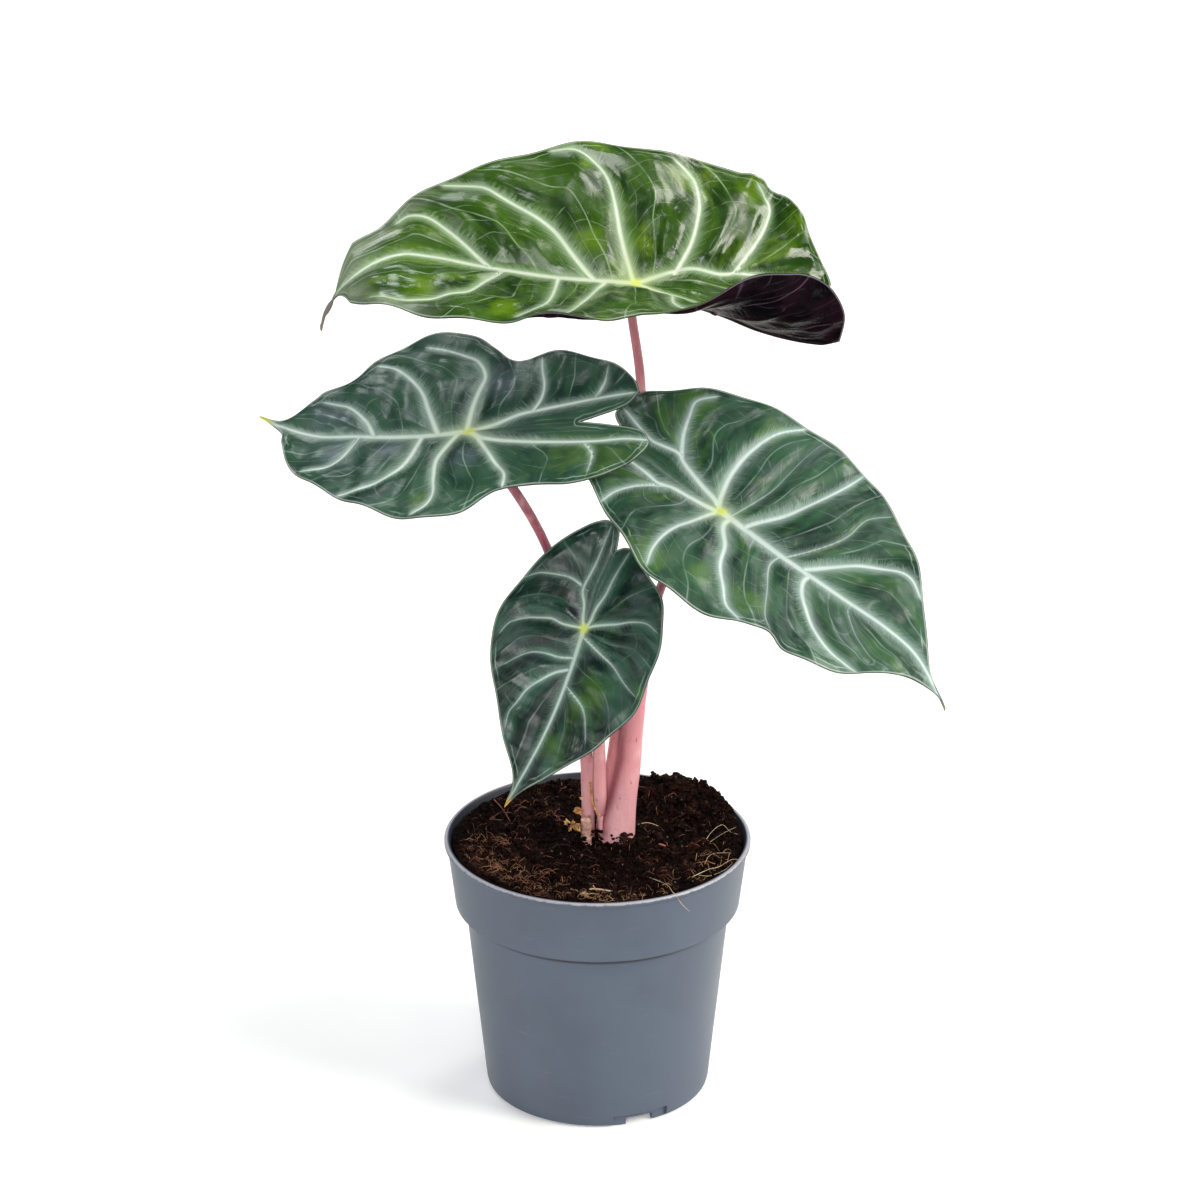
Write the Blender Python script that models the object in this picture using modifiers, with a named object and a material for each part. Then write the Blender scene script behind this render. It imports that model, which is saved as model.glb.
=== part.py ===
"""Pink dragon alocasia in its nursery pot: four blades, their petioles, the soil plug and the pot."""
import math

import bpy
import bmesh
from mathutils import Matrix
from mathutils import Vector
from mathutils import noise

MM = 0.001
GAP = 0.0003

# Pot
POT_FACETS = 60
POT_WALL = 0.0012
RIM_RADIUS = 0.0600
POT_HEIGHT = 0.1055
COLLAR_FOOT = 0.0785
BODY_TOP_RADIUS = 0.0520
BASE_RADIUS = 0.0443
FLOOR_LIFT = 0.0035
NOTCH_HEIGHT = 0.0048
NOTCH_DEPTH = 0.0013
NOTCH_WIDTH = 30.0
NOTCH_CENTRES = (-67.0, 53.0, 173.0)
OPENING_HEIGHT = 0.0030
OPENING_WIDTH = 15.0
OPENING_SHIFT = -0.5
DRAIN_COUNT = 6
DRAIN_RADIUS = 0.0030
DRAIN_RING = 0.0340
DRAIN_SIDES = 14

# Pot section from the middle of the floor up the inside, over the rim and down the outside, as radius and height.
POT_SECTION = (
    (0, POT_WALL), (0.0256, POT_WALL), (0.0272, FLOOR_LIFT + POT_WALL), (0.0422, FLOOR_LIFT + POT_WALL),
    (BASE_RADIUS - POT_WALL, 0.0056), (BODY_TOP_RADIUS - POT_WALL, COLLAR_FOOT + 0.0003),
    (0.0547, COLLAR_FOOT + 0.0015), (0.0578, POT_HEIGHT - 0.0005), (0.0582, POT_HEIGHT),
    (0.0596, POT_HEIGHT), (RIM_RADIUS, POT_HEIGHT - 0.0005), (RIM_RADIUS, POT_HEIGHT - 0.0013),
    (0.0597, POT_HEIGHT - 0.0017), (0.0589, POT_HEIGHT - 0.0021), (0.0559, COLLAR_FOOT + 0.0005),
    (0.0553, COLLAR_FOOT - 0.0001), (BODY_TOP_RADIUS, COLLAR_FOOT - 0.0006), (BASE_RADIUS, 0.0024),
    (0.0439, 0.0008), (0.0428, 0.0001), (0.0414, 0.0001), (0.0405, FLOOR_LIFT), (0.0265, FLOOR_LIFT),
    (0.0250, 0), (0, 0))

# Soil
SOIL_FACETS = 44
SOIL_LEVEL = 0.1013
SOIL_FOOT = 0.0015
SOIL_WALL = ((0.0567, 0.0990), (0.0543, 0.0803), (0.0503, 0.0791), (0.0427, 0.0057), (0.0419, 0.0050),
             (0.0269, 0.0050), (0.0252, SOIL_FOOT))
SOIL_RINGS = (0.0030, 0.0075, 0.0130, 0.0190, 0.0250, 0.0315, 0.0380, 0.0440, 0.0490, 0.0530, 0.0555)

# Blades
BLADE_THICKNESS = 0.0009
RIB_THICKNESS = 0.0013
RIB_WIDTH = 0.0018
TIP_STEPS = 13
JOINED_STEPS = 3
LOBE_STEPS = 6
ROW_SHARES = (0.0, 0.07, 0.24, 0.44, 0.64, 0.83, 1.0)
INNER_SHARES = (0.0, 0.16, 0.55, 1.0)
CREASE = 4.0
RIB_FADE = 12.0
SHARP = 40.0

# Each blade lies in its own flat millimetre sheet, hub at the origin and tip towards +x.
# pitch bends the sheet down along x, rise lifts each half at the midrib, curl rolls it up further out.
BLADES = {
    "top": {
        "hub": (0.0144, 0.0050, 0.3313), "heading": 180, "lift": 7, "roll": 23,
        "pitch": ((-90, 4), (-60, -9), (-30, -14), (0, -3), (50, 1), (80, 9), (105, 30), (130, 62)),
        "rise": {1: ((-80, 29), (-40, 27), (0, 26), (30, 21), (75, 9), (120, 1)),
                 -1: ((-80, 21), (0, 26), (90, 19), (125, 0))},
        "curl": {1: ((-80, 62), (-30, 60), (-12, 42), (8, 0)), -1: ((0, 0),)},
        "midrib": ((0, 0), (30, 3), (60, 1), (90, -3), (106, 7), (122, 25)),
        "sinus": (-38, 2),
        "lobe": {1: ((-30, 13), (-76, 34)), -1: ((-31, -13), (-75, -20))},
        "edge": {1: ((122, 25), (112, 18), (97, 26), (87, 31), (65, 41), (42, 44), (27, 47), (10, 46),
                     (-6, 43), (-18, 48), (-30, 58), (-46, 64), (-62, 62), (-74, 52), (-76, 34)),
                 -1: ((122, 25), (117, 8), (110, -5), (98, -15), (85, -28), (68, -38), (48, -46), (25, -54),
                      (1, -55), (-26, -55), (-51, -51), (-64, -38), (-72, -27), (-75, -20))},
        "cleft": {1: ((-38, 2), (-52, 6), (-68, 20), (-76, 34)), -1: ((-38, 2), (-54, -4), (-70, -12), (-75, -20))},
        "seat": 0.00040, "wave": (1.1, 31.0, 0.4),
    },
    "left": {
        "hub": (-0.0479, -0.0150, 0.2799), "heading": 165, "lift": -7, "roll": 25,
        "pitch": ((-80, -8), (0, 0), (50, 2), (110, -8)),
        "rise": {1: ((0, 4),), -1: ((0, 4),)},
        "curl": {1: ((0, 0),), -1: ((0, 0),)},
        "midrib": ((0, 0), (20, 2), (45, 0), (65, -2), (87, -12)),
        "sinus": (-42, -5),
        "lobe": {1: ((-30, 7), (-70, 4)), -1: ((-28, -11), (-62, -21))},
        "edge": {1: ((87, -12), (77, -5), (74, 3), (67, 17), (50, 30), (34, 39), (12, 48), (-5, 45), (-20, 33),
                     (-30, 29), (-43, 30), (-53, 24), (-65, 17), (-70, 4)),
                 -1: ((87, -12), (77, -11), (66, -19), (62, -24), (51, -31), (43, -39), (28, -49), (9, -50),
                      (-3, -41), (-12, -36), (-29, -40), (-46, -36), (-58, -28), (-62, -21))},
        "cleft": {1: ((-42, -5), (-54, -4), (-66, -2), (-70, 4)), -1: ((-42, -5), (-48, -8), (-58, -14), (-62, -21))},
        "seat": 0.00053, "wave": (0.9, 27.0, 2.0),
    },
    "right": {
        "hub": (0.0455, -0.0420, 0.2585), "heading": 316, "lift": -24, "roll": -14,
        "pitch": ((-80, -10), (0, 0), (90, 8), (130, 30)),
        "rise": {1: ((0, 7),), -1: ((0, 7),)},
        "curl": {1: ((0, 0),), -1: ((0, 0),)},
        "midrib": ((0, 0), (30, 4), (60, 10), (88, 15), (114, 9)),
        "sinus": (-42, -3),
        "lobe": {1: ((-30, 6), (-64, 10)), -1: ((-26, -9), (-58, -17))},
        "edge": {1: ((114, 9), (101, 14), (89, 22), (71, 36), (58, 44), (39, 50), (24, 53), (0, 53), (-20, 49),
                     (-34, 45), (-45, 38), (-54, 30), (-62, 20), (-64, 10)),
                 -1: ((114, 9), (106, 10), (96, 6), (88, -7), (79, -19), (65, -28), (54, -26), (47, -32),
                      (35, -41), (13, -46), (-4, -43), (-24, -37), (-38, -32), (-52, -25), (-58, -17))},
        "cleft": {1: ((-42, -3), (-52, -1), (-62, 3), (-64, 10)), -1: ((-42, -3), (-50, -6), (-56, -11), (-58, -17))},
        "seat": 0.00046, "wave": (1.0, 29.0, 1.1),
    },
    "front": {
        "hub": (-0.0050, -0.0220, 0.2031), "heading": 216, "lift": -58, "roll": 28,
        "pitch": ((-60, -8), (0, 0), (60, 6), (90, 14)),
        "rise": {1: ((0, 8),), -1: ((0, 8),)},
        "curl": {1: ((0, 0),), -1: ((0, 0),)},
        "midrib": ((0, 0), (25, 3), (50, 3), (75, 0)),
        "sinus": (-32, -2),
        "lobe": {1: ((-18, 2), (-35, 3)), -1: ((-18, -6), (-41, -9))},
        "edge": {1: ((75, 0), (64, 6), (49, 18), (34, 28), (20, 34), (4, 34), (-11, 31), (-22, 25), (-29, 14),
                     (-34, 6), (-35, 3)),
                 -1: ((75, 0), (64, -1), (52, -10), (38, -20), (22, -30), (8, -33), (-8, -30), (-25, -24),
                      (-35, -17), (-40, -12), (-41, -9))},
        "cleft": {1: ((-32, -2), (-34, 0), (-35, 3)), -1: ((-32, -2), (-38, -4), (-41, -6), (-41, -9))},
        "seat": 0.00039, "wave": (0.8, 24.0, 0.0),
    },
}

# Petiole paths run from the soil up, each row x, y, z and radius in millimetres. The blade sets the upper end.
PETIOLES = {
    "top": ((2.4, 9.0, 72, 2.4), (2.6, 9.0, 103, 2.6), (4.1, 8.8, 117, 2.7), (6.3, 8.6, 132, 2.6),
            (8.0, 8.6, 147, 2.4), (11.5, 10.0, 176, 2.1), (15.2, 15.0, 224, 1.9), (16.6, 17.0, 260, 1.8),
            (16.3, 14.5, 290, 1.8)),
    "right": ((8.8, 7.2, 72, 5.3), (8.9, 7.0, 103, 5.6), (10.0, 6.5, 118, 5.0), (12.1, 6.0, 133, 4.4),
              (13.6, 5.0, 149, 3.9), (17.6, 2.0, 175, 2.7), (23.1, -8.0, 211, 1.9), (31.8, -22.0, 233, 1.8)),
    "left": ((-3.4, 6.0, 72, 2.2), (-3.6, 5.9, 110, 2.2), (-4.5, 5.0, 140, 2.1), (-7.5, 5.0, 166, 2.0),
             (-12.1, 4.5, 195, 1.9), (-18.5, 3.0, 224, 1.8), (-32.1, -7.0, 254.6, 1.8)),
    "front": ((1.2, 3.2, 72, 2.4), (1.2, 3.0, 106, 2.4), (0.6, 2.0, 142, 2.1), (-0.5, 0.5, 163, 1.9),
              (-2.1, -6.0, 183, 1.7)),
}
TOP_RADIUS = 1.7
TOP_REACH = 9.0
PETIOLE_ROUNDING = 4
PETIOLE_STEPS = 18
STUB_STEPS = 4
STUB = ((-4.2, 1.4, 88, 2.1), (-4.3, 1.2, 102, 2.1), (-4.4, 0.9, 112.5, 2.0))


def clear_scene():
    for obj in list(bpy.data.objects):
        bpy.data.objects.remove(obj, do_unlink=True)


def new_collection(name, hidden):
    made = bpy.data.collections.new(name)
    bpy.context.scene.collection.children.link(made)
    made.hide_render = hidden
    return made


def principled(name, colour, roughness):
    mat = bpy.data.materials.new(name)
    mat.use_nodes = True
    shader = mat.node_tree.nodes["Principled BSDF"]
    shader.inputs["Base Color"].default_value = (*colour, 1.0)
    shader.inputs["Roughness"].default_value = roughness
    shader.inputs["Metallic"].default_value = 0.0
    return mat


def add_object(name, data, home, mat=None):
    obj = bpy.data.objects.new(name, data)
    home.objects.link(obj)
    if mat:
        data.materials.append(mat)
    return obj


def meshed(obj, mat=None):
    """The evaluated object as a plain mesh of triangles in place of the curve or the modifier."""
    graph = bpy.context.evaluated_depsgraph_get()
    mesh = bpy.data.meshes.new_from_object(obj.evaluated_get(graph))
    shape = bmesh.new()
    shape.from_mesh(mesh)
    bmesh.ops.remove_doubles(shape, verts=shape.verts, dist=0.00001)
    bmesh.ops.triangulate(shape, faces=shape.faces)
    bmesh.ops.recalc_face_normals(shape, faces=shape.faces)
    shape.to_mesh(mesh)
    shape.free()
    mesh.shade_smooth()
    mesh.set_sharp_from_angle(angle=math.radians(SHARP))
    name, place, home = obj.name, obj.matrix_world.copy(), obj.users_collection[0]
    bpy.data.objects.remove(obj, do_unlink=True)
    made = add_object(name, mesh, home, mat)
    made.matrix_world = place
    return made


def cut(target, cutter):
    """Boolean difference; the cutter stays in the scene but out of the render."""
    cutter.hide_render = True
    cutter.display_type = "WIRE"
    mod = target.modifiers.new("cut_" + cutter.name, "BOOLEAN")
    mod.operation = "DIFFERENCE"
    mod.solver = "EXACT"
    mod.object = cutter


def turned(name, section, steps, home, mat=None):
    """Body turned round Z from a section that starts and ends on the axis."""
    mesh = bpy.data.meshes.new(name)
    mesh.from_pydata([(r, 0, z) for r, z in section], [(i, i + 1) for i in range(len(section) - 1)], [])
    obj = add_object(name, mesh, home, mat)
    screw = obj.modifiers.new("turn", "SCREW")
    screw.steps = screw.render_steps = steps
    screw.use_merge_vertices = True
    screw.merge_threshold = 0.00001
    return obj


def tube(name, path, steps, home, mat=None, grow=0.0):
    """Round tube along the path, whose rows hold x, y, z and radius; grow adds to radius and ends."""
    line = pick(rounded(path), [k / steps for k in range(steps + 1)])
    places = [Vector(row[:3]) * MM for row in line]
    if grow:
        places[0] += (places[0] - places[1]).normalized() * grow
        places[-1] += (places[-1] - places[-2]).normalized() * grow
    curve = bpy.data.curves.new(name, "CURVE")
    curve.dimensions = "3D"
    curve.bevel_depth = MM
    curve.bevel_resolution = PETIOLE_ROUNDING
    curve.use_fill_caps = True
    spline = curve.splines.new("POLY")
    spline.points.add(steps)
    for point, place, row in zip(spline.points, places, line):
        point.co = (*place, 1.0)
        point.radius = row[3] + grow / MM
    return meshed(add_object(name, curve, home), mat)


def ring_slice(name, inner, outer, low, high, centre, width, home, steps=5):
    """Cutter shaped like a slice of a ring, its middle and width given as angles in degrees."""
    shape = bmesh.new()
    corners = [shape.verts.new((r, 0, z)) for r, z in ((inner, low), (outer, low), (outer, high), (inner, high))]
    face = shape.faces.new(corners)
    first = Matrix.Rotation(math.radians(centre - width / 2), 3, "Z")
    bmesh.ops.rotate(shape, verts=shape.verts, matrix=first)
    bmesh.ops.spin(shape, geom=[face, *face.edges, *face.verts], axis=(0, 0, 1), cent=(0, 0, 0),
                   angle=math.radians(width), steps=steps)
    bmesh.ops.recalc_face_normals(shape, faces=shape.faces)
    mesh = bpy.data.meshes.new(name)
    shape.to_mesh(mesh)
    shape.free()
    return add_object(name, mesh, home)


def drill(name, x, y, radius, length, home):
    """Upright cylinder cutter centred on the floor."""
    shape = bmesh.new()
    bmesh.ops.create_cone(shape, cap_ends=True, segments=DRAIN_SIDES, radius1=radius, radius2=radius, depth=length)
    mesh = bpy.data.meshes.new(name)
    shape.to_mesh(mesh)
    shape.free()
    obj = add_object(name, mesh, home)
    obj.location = (x, y, FLOOR_LIFT)
    return obj


def along(table, x):
    """Value at x of a smooth curve through the (x, value) rows."""
    if len(table) == 1 or x <= table[0][0]:
        return table[0][1]
    if x >= table[-1][0]:
        return table[-1][1]
    i = 0
    while x > table[i + 1][0]:
        i += 1
    (x0, y0), (x1, y1) = table[i], table[i + 1]
    before = table[max(i - 1, 0)]
    after = table[min(i + 2, len(table) - 1)]
    slope0 = (y1 - before[1]) / (x1 - before[0])
    slope1 = (after[1] - y0) / (after[0] - x0)
    w = x1 - x0
    t = (x - x0) / w
    value = y0 * (1 + 2 * t) * (1 - t) ** 2 + y1 * t * t * (3 - 2 * t)
    return value + w * slope0 * t * (1 - t) ** 2 + w * slope1 * t * t * (t - 1)


def rounded(points, per_span=8):
    """Dense smooth line through the points, which may hold two or more numbers each."""
    line = []
    last = len(points) - 1
    for i in range(last):
        a, b = points[max(i - 1, 0)], points[i]
        c, d = points[i + 1], points[min(i + 2, last)]
        for k in range(per_span):
            t = k / per_span
            line.append(tuple(
                0.5 * (2 * q + (r - p) * t + (2 * p - 5 * q + 4 * r - s) * t * t + (3 * q - p - 3 * r + s) * t ** 3)
                for p, q, r, s in zip(a, b, c, d)))
    line.append(tuple(points[last]))
    return line


def pick(line, shares):
    """Points of the line at the given shares of its length."""
    reach = [0.0]
    for a, b in zip(line, line[1:]):
        reach.append(reach[-1] + math.dist(a[:3], b[:3]))
    found = []
    for share in shares:
        goal = share * reach[-1]
        i = 0
        while i < len(line) - 2 and reach[i + 1] < goal:
            i += 1
        span = reach[i + 1] - reach[i]
        t = min(max((goal - reach[i]) / span, 0.0), 1.0) if span else 0.0
        found.append(tuple(p + (q - p) * t for p, q in zip(line[i], line[i + 1])))
    return found


def length(line):
    return sum(math.dist(a, b) for a, b in zip(line, line[1:]))


class Sheet:
    """Bends a blade's flat sheet into its place in the scene."""

    def __init__(self, blade):
        self.blade = blade
        turn, lift, roll = (math.radians(blade[k]) for k in ("heading", "lift", "roll"))
        self.out = Vector((math.cos(turn) * math.cos(lift), math.sin(turn) * math.cos(lift), math.sin(lift)))
        up = Vector((0, 0, 1))
        level = (up - up.dot(self.out) * self.out).normalized()
        self.up = level * math.cos(roll) + level.cross(self.out) * math.sin(roll)
        self.side = self.up.cross(self.out)
        self.hub = Vector(blade["hub"])

    def spine(self, x):
        """Forward reach, drop and pitch of the midrib line at x."""
        steps = max(1, int(abs(x) // 2))
        reach = drop = 0.0
        for k in range(steps):
            angle = math.radians(along(self.blade["pitch"], x * (k + 0.5) / steps))
            reach += math.cos(angle) * x / steps
            drop -= math.sin(angle) * x / steps
        return reach, drop, math.radians(along(self.blade["pitch"], x))

    def place(self, x, y):
        """The point and the upward direction of the sheet at flat x, y."""
        reach, drop, pitch = self.spine(x)
        middle = along(self.blade["midrib"], x)
        half = 1 if y >= middle else -1
        far = abs(y - middle)
        rise = along(self.blade["rise"][half], x)
        curl = along(self.blade["curl"][half], x)
        steps = max(1, int(far // 1.5))
        across = lift = 0.0
        for k in range(steps):
            d = far * (k + 0.5) / steps
            angle = math.radians(rise * min(1.0, d / CREASE) + curl * (d / 50.0) ** 2)
            across += math.cos(angle) * far / steps
            lift += math.sin(angle) * far / steps
        angle = math.radians(rise * min(1.0, far / CREASE) + curl * (far / 50.0) ** 2)
        top = self.out * math.sin(pitch) + self.up * math.cos(pitch)
        point = self.out * reach + self.up * drop + top * lift + self.side * (middle + half * across)
        normal = top * math.cos(angle) - self.side * half * math.sin(angle)
        return self.hub + point * MM, normal

    def waved(self, x, y, share, run):
        """The sheet point with the edge waves and the soft swells between the side ribs."""
        point, normal = self.place(x, y)
        height, period, phase = self.blade["wave"]
        swell = math.sin(2 * math.pi * run / period + phase) * share * share * height
        swell += 0.35 * math.sin(4 * math.pi * run / period) * math.sin(math.pi * share)
        return point + normal * swell * MM, normal


def blade_rows(blade, side):
    """Flat rows of one half: spine to edge, then lobe rib to cleft."""
    line = rounded(tuple((x, along(blade["midrib"], x)) for x in (0, 15, 30, 45, 60, 75, 90, 105, 128)
                         if x < blade["midrib"][-1][0] - 4) + (blade["midrib"][-1],))
    line.reverse()
    lobe = rounded(((0, 0),) + blade["lobe"][side])
    tip_part, lobe_part = length(line), length(lobe)
    whole = tip_part + lobe_part
    lobe_steps = JOINED_STEPS + LOBE_STEPS
    spine = pick(line, [k / TIP_STEPS for k in range(TIP_STEPS + 1)])
    spine += pick(lobe, [k / lobe_steps for k in range(1, lobe_steps + 1)])
    shares = [k / TIP_STEPS * tip_part / whole for k in range(TIP_STEPS + 1)]
    shares += [(tip_part + k / lobe_steps * lobe_part) / whole for k in range(1, lobe_steps + 1)]
    edge_line = rounded(blade["edge"][side])
    edge = pick(edge_line, shares)
    run = [s * length(edge_line) for s in shares]
    axis = [(blade["sinus"][0] * k / JOINED_STEPS, blade["sinus"][1] * k / JOINED_STEPS)
            for k in range(JOINED_STEPS)]
    cleft = rounded(blade["cleft"][side])
    inner = axis + pick(cleft, [k / LOBE_STEPS for k in range(LOBE_STEPS + 1)])
    return spine, edge, run, spine[TIP_STEPS:], inner


def make_blade(name, mat, home):
    """Waved surface of one blade, made solid downwards and thicker along its ribs."""
    blade = BLADES[name]
    sheet = Sheet(blade)
    points, ribs, faces, keys = [], [], [], {}

    def corner(x, y, share, run, rib):
        key = (round(x, 3), round(y, 3))
        if key not in keys:
            keys[key] = len(points)
            points.append(sheet.waved(x, y, share, run)[0])
            ribs.append(rib)
        return keys[key]

    for side in (1, -1):
        spine, edge, run, rib, inner = blade_rows(blade, side)
        grids = ((spine, edge, run, ROW_SHARES, True), (rib, inner, None, INNER_SHARES, False))
        for start, end, runs, shares, outer in grids:
            rows = []
            for i, (a, b) in enumerate(zip(start, end)):
                wide = math.dist(a, b)
                row = []
                for share in shares:
                    x, y = (p + (q - p) * share for p, q in zip(a, b))
                    thick = math.exp(-((share * wide * MM / RIB_WIDTH) ** 2)) * min(1.0, wide / RIB_FADE)
                    row.append(corner(x, y, share if outer else 0.0, runs[i] if runs else 0.0, thick))
                rows.append(row)
            flip = (side == 1) == outer
            for row, after in zip(rows, rows[1:]):
                for a, b, c, d in zip(row, row[1:], after[1:], after):
                    for tri in ((a, b, c), (a, c, d)):
                        if len(set(tri)) == 3:
                            faces.append(tri if flip else tri[::-1])
    mesh = bpy.data.meshes.new("blade_" + name)
    mesh.from_pydata([tuple(p) for p in points], [], faces)
    mesh.shade_smooth()
    obj = add_object("blade_" + name, mesh, home, mat)
    group = obj.vertex_groups.new(name="ribs")
    for i, weight in enumerate(ribs):
        group.add([i], weight, "REPLACE")
    shell = obj.modifiers.new("thickness", "SOLIDIFY")
    shell.thickness = BLADE_THICKNESS + RIB_THICKNESS
    shell.vertex_group = group.name
    shell.thickness_vertex_group = BLADE_THICKNESS / (BLADE_THICKNESS + RIB_THICKNESS)
    shell.offset = -1.0
    return obj


def blade_end(name):
    """The last two rows of a petiole path, square to the blade and a gap below its rib."""
    point, normal = Sheet(BLADES[name]).place(0, 0)
    near = point / MM - normal * (BLADE_THICKNESS + RIB_THICKNESS + BLADES[name]["seat"]) / MM
    before = near - normal * TOP_REACH
    return (*before, TOP_RADIUS), (*near, TOP_RADIUS)


def make_pot(mat, home, cutters):
    pot = turned("pot", POT_SECTION, POT_FACETS, home, mat)
    beyond = BASE_RADIUS + 0.006
    for i, centre in enumerate(NOTCH_CENTRES):
        cut(pot, ring_slice(f"notch_recess_{i}", BASE_RADIUS - NOTCH_DEPTH, beyond, -0.002, NOTCH_HEIGHT,
                            centre, NOTCH_WIDTH, cutters))
        cut(pot, ring_slice(f"notch_opening_{i}", BASE_RADIUS - 0.0043, beyond, -0.002, OPENING_HEIGHT,
                            centre + OPENING_SHIFT, OPENING_WIDTH, cutters))
    for i in range(DRAIN_COUNT):
        angle = 2 * math.pi * (i + 0.5) / DRAIN_COUNT
        cut(pot, drill(f"drain_{i}", DRAIN_RING * math.cos(angle), DRAIN_RING * math.sin(angle),
                       DRAIN_RADIUS, 5 * POT_WALL, cutters))
    return pot


def soil_height(x, y):
    """Loose mounded top: heaped above the rim at the back right, a little low elsewhere."""
    heap = 0.0088 * math.exp(-(((x - 0.034) / 0.024) ** 2 + ((y - 0.034) / 0.024) ** 2))
    rise = 0.0012 * (math.hypot(x, y) / 0.055) ** 2
    lumps = 0.0017 * noise.noise(Vector((x * 90, y * 90, 3.7)))
    return SOIL_LEVEL + heap + rise + lumps


def make_soil(mat, home):
    """Plug turned to the pot's inside, its flat top then raised to the loose surface."""
    section = ((0, SOIL_LEVEL), *((r, SOIL_LEVEL) for r in SOIL_RINGS), *SOIL_WALL, (0, SOIL_FOOT))
    soil = meshed(turned("soil", section, SOIL_FACETS, home), mat)
    for vertex in soil.data.vertices:
        if vertex.co.z > SOIL_LEVEL - GAP:
            vertex.co.z = soil_height(vertex.co.x, vertex.co.y)
    return soil


def main():
    clear_scene()
    plant = new_collection("pink_dragon_alocasia", False)
    cutters = new_collection("cutters", True)
    pot_mat = principled("pot_plastic", (0.12, 0.15, 0.17), 0.55)
    soil_mat = principled("peat", (0.03, 0.018, 0.012), 0.95)
    blade_mat = principled("blade", (0.03, 0.12, 0.04), 0.3)
    stem_mat = principled("petiole", (0.55, 0.22, 0.24), 0.4)
    make_pot(pot_mat, plant, cutters)
    soil = make_soil(soil_mat, plant)
    for name in BLADES:
        make_blade(name, blade_mat, plant)
    stems, holes = {}, {}
    for name, base in PETIOLES.items():
        path = base + blade_end(name)
        stems[name] = tube("petiole_" + name, path, PETIOLE_STEPS, plant, stem_mat)
        holes[name] = tube("hole_" + name, path, PETIOLE_STEPS, cutters, grow=GAP)
        cut(soil, holes[name])
    cut(stems["right"], holes["top"])
    tube("petiole_stub", STUB, STUB_STEPS, plant, stem_mat)
    cut(soil, tube("hole_stub", STUB, STUB_STEPS, cutters, grow=GAP))


main()
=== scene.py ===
"""Looks of the pink dragon alocasia: fine leaves, stems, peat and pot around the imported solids."""
import math
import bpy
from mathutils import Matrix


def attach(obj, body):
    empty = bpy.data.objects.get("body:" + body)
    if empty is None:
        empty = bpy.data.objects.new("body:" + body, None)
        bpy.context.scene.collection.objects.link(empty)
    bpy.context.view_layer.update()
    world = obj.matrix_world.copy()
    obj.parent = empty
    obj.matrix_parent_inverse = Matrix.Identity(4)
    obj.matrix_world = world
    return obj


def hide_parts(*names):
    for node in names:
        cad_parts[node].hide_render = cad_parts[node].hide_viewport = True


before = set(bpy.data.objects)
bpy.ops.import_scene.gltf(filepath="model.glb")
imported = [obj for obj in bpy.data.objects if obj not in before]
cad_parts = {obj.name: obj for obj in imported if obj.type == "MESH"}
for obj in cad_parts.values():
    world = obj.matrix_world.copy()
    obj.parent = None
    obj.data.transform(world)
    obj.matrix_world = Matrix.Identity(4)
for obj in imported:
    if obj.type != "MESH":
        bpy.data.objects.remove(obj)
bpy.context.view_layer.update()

from types import SimpleNamespace

import bpy
import bmesh
import numpy as np
from mathutils import Matrix, Vector, noise

MM = 0.001

# Camera and light
CAMERA_PLACE = (0.001, -1.5, 0.833)
CAMERA_TILT = 67.3
CAMERA_LENS = 127.5
FLOOR_SIZE = 14.0
FLOOR_GLOW = 0.16
WORLD_LOW = 0.16
WORLD_HIGH = 0.03
# Name, direction from the plant, strength, spread in degrees and colour
LIGHTS = (
    ("side_left", (-0.85, -0.08, 0.52), 0.20, 30, (1.00, 1.00, 1.00)),
    ("side_right", (0.88, 0.16, 0.45), 0.50, 30, (1.00, 1.00, 1.00)),
    ("side_back", (0.50, 0.66, 0.56), 0.72, 26, (1.00, 1.00, 1.00)),
    ("front", (-0.05, -0.90, 0.43), 1.62, 28, (1.00, 1.00, 1.00)),
    ("glint_right", (0.72, -0.27, 0.64), 2.50, 28, (1.00, 0.96, 0.88)),
    ("glint_left", (-0.70, -0.40, 0.59), 0.28, 24, (0.94, 0.98, 1.00)),
    ("glint_back", (-0.27, 0.43, 0.86), 0.88, 22, (0.93, 0.97, 1.00)),
    ("glint_top", (0.08, 0.20, 0.98), 0.22, 11, (1.00, 0.97, 0.86)),
    ("glint_front", (0.14, -0.45, 0.88), 0.12, 10, (1.00, 0.98, 0.92)),
)

# Blades
BLADE_THICKNESS = 0.9
EDGE_THICKNESS = 0.5
RIB_THICKNESS = 1.3
RIB_WIDTH = 1.8
RIB_FADE = 12.0
CREASE = 4.0
HOOK_GAP = 5.2
TIP_STEPS = 13
JOINED_STEPS = 3
LOBE_STEPS = 6
STATIONS = (0, 15, 30, 45, 60, 75, 90, 105, 128)
SHEET_STEPS = (-100, 140, 961)
BEND_PARTS = 40
CURL_WIDTH = 50.0
# What is kept for each corner of a blade: sector number and width, width of its vein,
# distance to the ribs, their width, and distance to the rim
FIELDS = ("sector", "wide", "width", "middle", "thick", "rim")

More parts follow.
